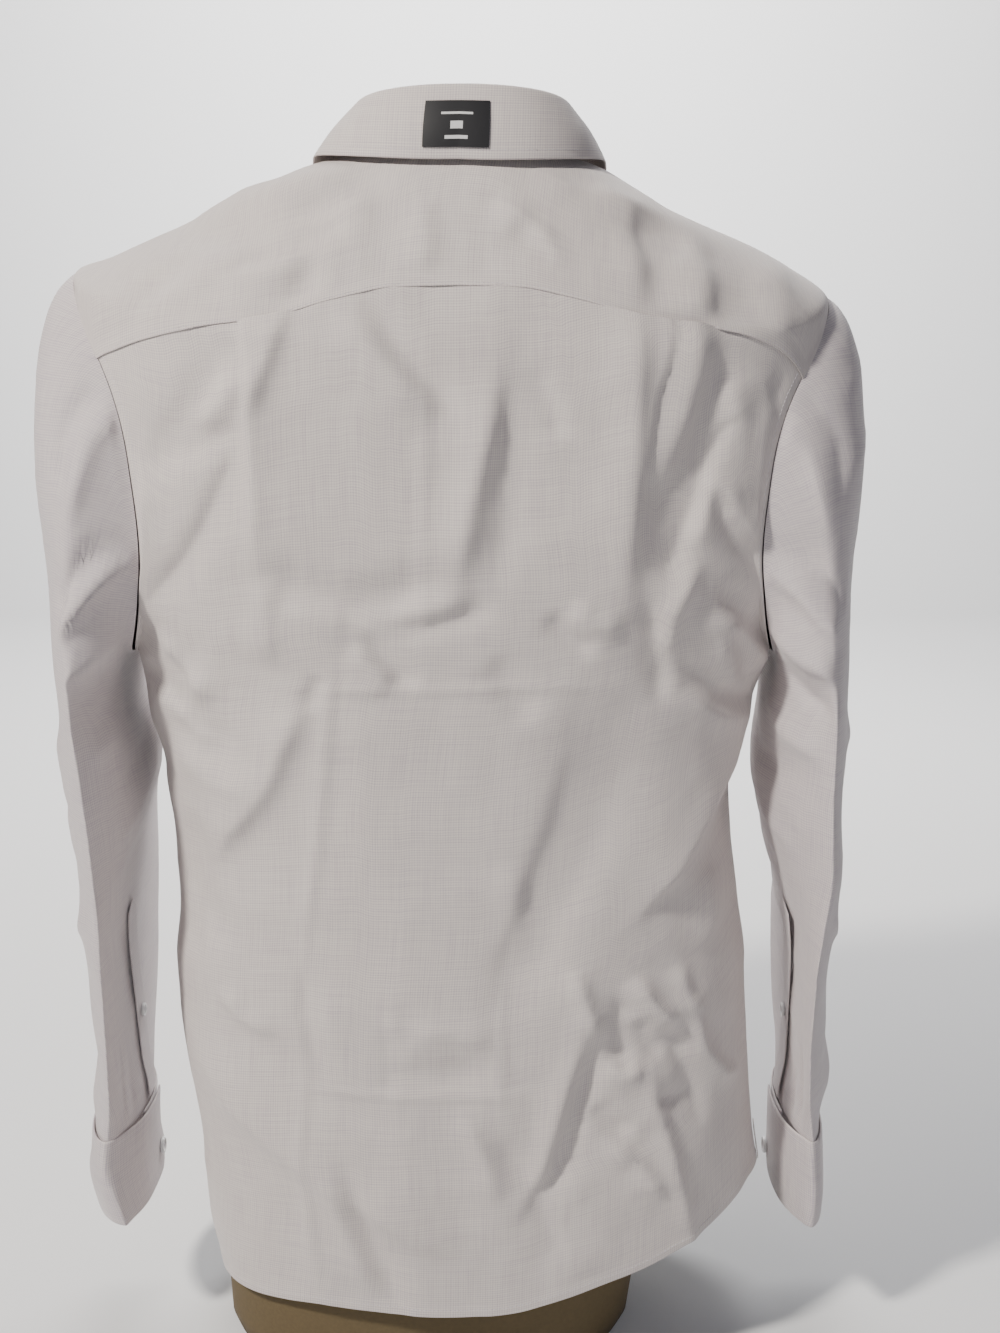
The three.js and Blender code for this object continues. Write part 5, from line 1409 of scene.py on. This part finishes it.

# %% [markdown]
# ## The stitches and the cut cloth
# All stitches are of one thread, so they become one mesh of little eight-sided grains. Then the sheets
# are counted; each was kept with the size of its flat cut, which was measured on its grid before it was
# thickened.

# %% Join the stitches
grain = np.array([(0, 1, 2), (0, 2, 3), (4, 2, 1), (4, 3, 2), (0, 5, 1), (0, 3, 5), (4, 1, 5), (4, 5, 3)])
points = np.concatenate(STITCHES) * MM
faces = np.concatenate([grain + 6 * k for k in range(len(STITCHES))])
stitch_mesh = bpy.data.meshes.new("stitching")
stitch_mesh.from_pydata(points.tolist(), [], faces.tolist())
shell = bmesh.new()
shell.from_mesh(stitch_mesh)
bmesh.ops.recalc_face_normals(shell, faces=shell.faces)
shell.to_mesh(stitch_mesh)
shell.free()
stitching = bpy.data.objects.new("stitching", stitch_mesh)
bpy.context.scene.collection.objects.link(stitching)
smooth_shading(stitching, 60)
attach(stitching, "root")
print("stitches", len(STITCHES))

print("sheets", len(SHEETS))

# %% [markdown]
# ## Materials
# The shirting is woven from white and pale lilac yarns in a check of about 1.55 mm. The pattern is read
# from the map `cut`, so it follows the cloth. Numbers are joined by a small class that lets Python's
# operators build the Math nodes.

# %% Shader maths
class Number:
    """A shader socket that holds a number, with Python's own operators."""

    def __init__(self, graph, socket):
        self.graph, self.socket = graph, socket

    def _join(self, operation, first, second):
        return self.graph.number("ShaderNodeMath", {"operation": operation}, {0: first, 1: second})

    def __add__(self, other):
        return self._join("ADD", self, other)

    def __radd__(self, other):
        return self._join("ADD", other, self)

    def __sub__(self, other):
        return self._join("SUBTRACT", self, other)

    def __rsub__(self, other):
        return self._join("SUBTRACT", other, self)

    def __mul__(self, other):
        return self._join("MULTIPLY", self, other)

    def __rmul__(self, other):
        return self._join("MULTIPLY", other, self)


class Graph:
    """A material's nodes, made by one method."""

    def __init__(self, name):
        self.material = bpy.data.materials.new(name)
        self.material.use_nodes = True
        self.tree = self.material.node_tree
        self.shader = self.tree.nodes["Principled BSDF"]

    def node(self, kind, settings=None, inputs=None):
        made = self.tree.nodes.new(kind)
        for key, value in (settings or {}).items():
            setattr(made, key, value)
        for key, value in (inputs or {}).items():
            self.feed(made.inputs[key], value)
        return made

    def feed(self, socket, value):
        if isinstance(value, Number):
            value = value.socket
        if isinstance(value, bpy.types.NodeSocket):
            self.tree.links.new(value, socket)
        else:
            socket.default_value = value

    def number(self, kind, settings=None, inputs=None, output=0):
        return Number(self, self.node(kind, settings, inputs).outputs[output])

    def blend(self, factor, first, second, mode="MIX"):
        made = self.node("ShaderNodeMix", {"data_type": "RGBA", "blend_type": mode})
        for index, value in ((0, factor), (6, first), (7, second)):
            self.feed(made.inputs[index], value)
        return made.outputs[2]

    def set(self, name, value):
        self.feed(self.shader.inputs[name], value)


def wave(graph, at, pitch, sharp=1.0):
    """A wave from 0 to 1 along a coordinate in metres."""
    turned = at * (2 * math.pi / pitch)
    value = graph.number("ShaderNodeMath", {"operation": "SINE"}, {0: turned}) * 0.5 + 0.5
    if sharp != 1:
        value = graph.number("ShaderNodeMath", {"operation": "POWER"}, {0: value, 1: sharp})
    return value


# %% Shirting
CHECK_PITCH = 0.00155
YARN_PITCH = 0.0007
CLOTH_WHITE = (0.70, 0.65, 0.585, 1)
CLOTH_LILAC = (0.40, 0.32, 0.37, 1)
CLOTH_GREY = (0.56, 0.55, 0.54, 1)
# The sleeves, cuffs and plackets take a darker, more lilac copy of the same shirting: painted shade, for the
# shade that falls on the sleeves' inner faces.
SLEEVE_WHITE_PAINTED_SHADE = (0.68, 0.63, 0.59, 1)
SLEEVE_LILAC_PAINTED_SHADE = (0.35, 0.27, 0.36, 1)
STAIN_AT = (-0.094, -0.1035, 0.252 + TABLE_ZERO * MM)
STAIN_EDGE, STAIN_CORE, STAIN_COLOUR = 0.0019, 0.0011, (0.09, 0.06, 0.05, 1)
CHECK_SHOWS, SLUB_SHOWS, CLOUD_SHOWS = 0.34, 0.20, 0.16


def slubs(graph, u, v, along, across, seed):
    """Thick places in the yarns: long thin streaks, between 0 and 1."""
    place = graph.node("ShaderNodeCombineXYZ", None, {0: u * along, 1: v * across, 2: seed}).outputs[0]
    streak = graph.number("ShaderNodeTexNoise", None, {"Vector": place, "Scale": 1.0, "Detail": 1.5})
    return graph.number("ShaderNodeMapRange", None, {"Value": streak, 1: 0.42, 2: 0.72, 3: 0.0, 4: 1.0})


def shirting_material(name="shirting_cloth", white=CLOTH_WHITE, lilac=CLOTH_LILAC, stain=None):
    graph = Graph(name)
    flat = graph.node("ShaderNodeUVMap", {"uv_map": "cut"}).outputs["UV"]
    parts = graph.node("ShaderNodeSeparateXYZ", None, {0: flat}).outputs
    u, v = Number(graph, parts[0]), Number(graph, parts[1])
    lines = wave(graph, u, CHECK_PITCH, 2.2) + wave(graph, v, CHECK_PITCH, 2.2)
    slub = slubs(graph, u, v, 26, 900, 3.0) + slubs(graph, u, v, 900, 26, 8.0)
    place = graph.node("ShaderNodeTexCoord").outputs["Object"]
    cloudy = graph.number("ShaderNodeTexNoise", None, {"Vector": place, "Scale": 9.0, "Detail": 3.0})
    colour = graph.blend(lines * CHECK_SHOWS + slub * SLUB_SHOWS, white, lilac)
    colour = graph.blend(cloudy * CLOUD_SHOWS, colour, CLOTH_GREY)
    if stain:
        offset = graph.node("ShaderNodeVectorMath", {"operation": "DISTANCE"}, {0: place, 1: stain})
        ranges = {"Value": offset.outputs["Value"], 1: STAIN_EDGE, 2: STAIN_CORE, 3: 0.0, 4: 0.9}
        mark = graph.number("ShaderNodeMapRange", None, ranges)
        colour = graph.blend(mark, colour, STAIN_COLOUR)
    graph.set("Base Color", colour)
    graph.set("Roughness", 0.82)
    graph.set("Sheen Weight", 0.25)
    graph.set("Sheen Roughness", 0.5)
    graph.set("Specular IOR Level", 0.3)
    weave = wave(graph, u, YARN_PITCH) * wave(graph, v, YARN_PITCH) + slub * 0.5
    bump = graph.node("ShaderNodeBump", None, {"Strength": 0.35, "Distance": 0.00012, "Height": weave})
    graph.set("Normal", bump.outputs[0])
    return graph.material


shirting = shirting_material()
shirting_back = shirting_material("shirting_back", stain=STAIN_AT)
# The darker copy with painted shade, for the sleeves, cuffs and plackets.
shirting_sleeves_painted_shade = shirting_material("shirting_sleeves_painted_shade", SLEEVE_WHITE_PAINTED_SHADE, SLEEVE_LILAC_PAINTED_SHADE)


# %% [markdown]
# ## The other finishes
# The form's cover is a coarse, slightly worn cloth. The buttons are pearly plastic with a thin gloss,
# the thread is matt and uneven, and the label is a smooth black film. Each gets its grain from noise
# in Object coordinates, at the size the real thing has, and the label's bars come from its own map.

# %% Form, button, thread and label finishes
def form_material():
    graph = Graph("form_cover")
    place = graph.node("ShaderNodeTexCoord").outputs["Object"]
    grain = graph.number("ShaderNodeTexNoise", None, {"Vector": place, "Scale": 420.0, "Detail": 3.0})
    worn = graph.number("ShaderNodeTexNoise", None, {"Vector": place, "Scale": 14.0, "Detail": 4.0})
    colour = graph.blend(grain * 0.7, (0.125, 0.088, 0.038, 1), (0.06, 0.042, 0.02, 1))
    graph.set("Base Color", graph.blend(worn * 0.4, colour, (0.15, 0.11, 0.055, 1)))
    graph.set("Roughness", 0.85)
    bump = graph.node("ShaderNodeBump", None, {"Strength": 0.4, "Distance": 0.0003, "Height": grain})
    graph.set("Normal", bump.outputs[0])
    return graph.material


def button_material():
    graph = Graph("button_pearl")
    place = graph.node("ShaderNodeTexCoord").outputs["Object"]
    swirl = graph.number("ShaderNodeTexNoise", None, {"Vector": place, "Scale": 240.0, "Detail": 2.0})
    graph.set("Base Color", graph.blend(swirl, (0.80, 0.79, 0.76, 1), (0.66, 0.66, 0.68, 1)))
    graph.set("Roughness", 0.28)
    graph.set("Coat Weight", 0.4)
    return graph.material


def thread_material():
    graph = Graph("thread")
    place = graph.node("ShaderNodeTexCoord").outputs["Object"]
    twist = graph.number("ShaderNodeTexNoise", None, {"Vector": place, "Scale": 2500.0})
    graph.set("Base Color", graph.blend(twist, (0.76, 0.73, 0.75, 1), (0.58, 0.54, 0.6, 1)))
    graph.set("Roughness", 0.7)
    return graph.material


# The label's bars: height on the label, half width and half height, in metres.
LABEL_BARS = [(0.0195, 0.009, 0.0007), (0.0125, 0.0035, 0.0022), (0.0055, 0.0065, 0.0010)]


def label_material():
    graph = Graph("label_black")
    flat = graph.node("ShaderNodeUVMap", {"uv_map": "cut"}).outputs["UV"]
    parts = graph.node("ShaderNodeSeparateXYZ", None, {0: flat}).outputs
    u, v = Number(graph, parts[0]), Number(graph, parts[1])
    across = graph.number("ShaderNodeMath", {"operation": "ABSOLUTE"}, {0: u})
    total = None
    for height, half_width, half_height in LABEL_BARS:
        away = graph.number("ShaderNodeMath", {"operation": "ABSOLUTE"}, {0: v - height})
        bar = graph.number("ShaderNodeMath", {"operation": "LESS_THAN"}, {0: away, 1: half_height})
        bar = bar * graph.number("ShaderNodeMath", {"operation": "LESS_THAN"}, {0: across, 1: half_width})
        total = bar if total is None else total + bar
    graph.set("Base Color", graph.blend(total, (0.012, 0.012, 0.014, 1), (0.62, 0.62, 0.62, 1)))
    graph.set("Roughness", 0.45)
    return graph.material


def floor_material():
    graph = Graph("floor_pale")
    place = graph.node("ShaderNodeTexCoord").outputs["Object"]
    soft = graph.number("ShaderNodeTexNoise", None, {"Vector": place, "Scale": 1.5})
    graph.set("Base Color", graph.blend(soft * 0.2, (0.74, 0.74, 0.74, 1), (0.70, 0.70, 0.70, 1)))
    graph.set("Roughness", 0.9)
    return graph.material


def finish_with(piece, material):
    piece.data.materials.clear()
    piece.data.materials.append(material)


for piece, *_ in SHEETS:
    cloth = shirting_back if piece.name == "shirt_back" else shirting
    # Sleeves, cuffs and plackets get the copy of the shirting with painted shade.
    if any(word in piece.name for word in ("sleeve", "cuff", "placket")):
        cloth = shirting_sleeves_painted_shade
    finish_with(piece, cloth)
finish_with(form, form_material())
finish_with(cap, form.data.materials[0])
finish_with(label, label_material())
finish_with(floor, floor_material())
pearl, thread_finish = button_material(), thread_material()
finish_with(stitching, thread_finish)
for piece in bpy.context.scene.objects:
    if piece.name.startswith("button_"):
        finish_with(piece, pearl)
    elif piece.name.startswith("thread_"):
        finish_with(piece, thread_finish)
print("materials", len(bpy.data.materials))
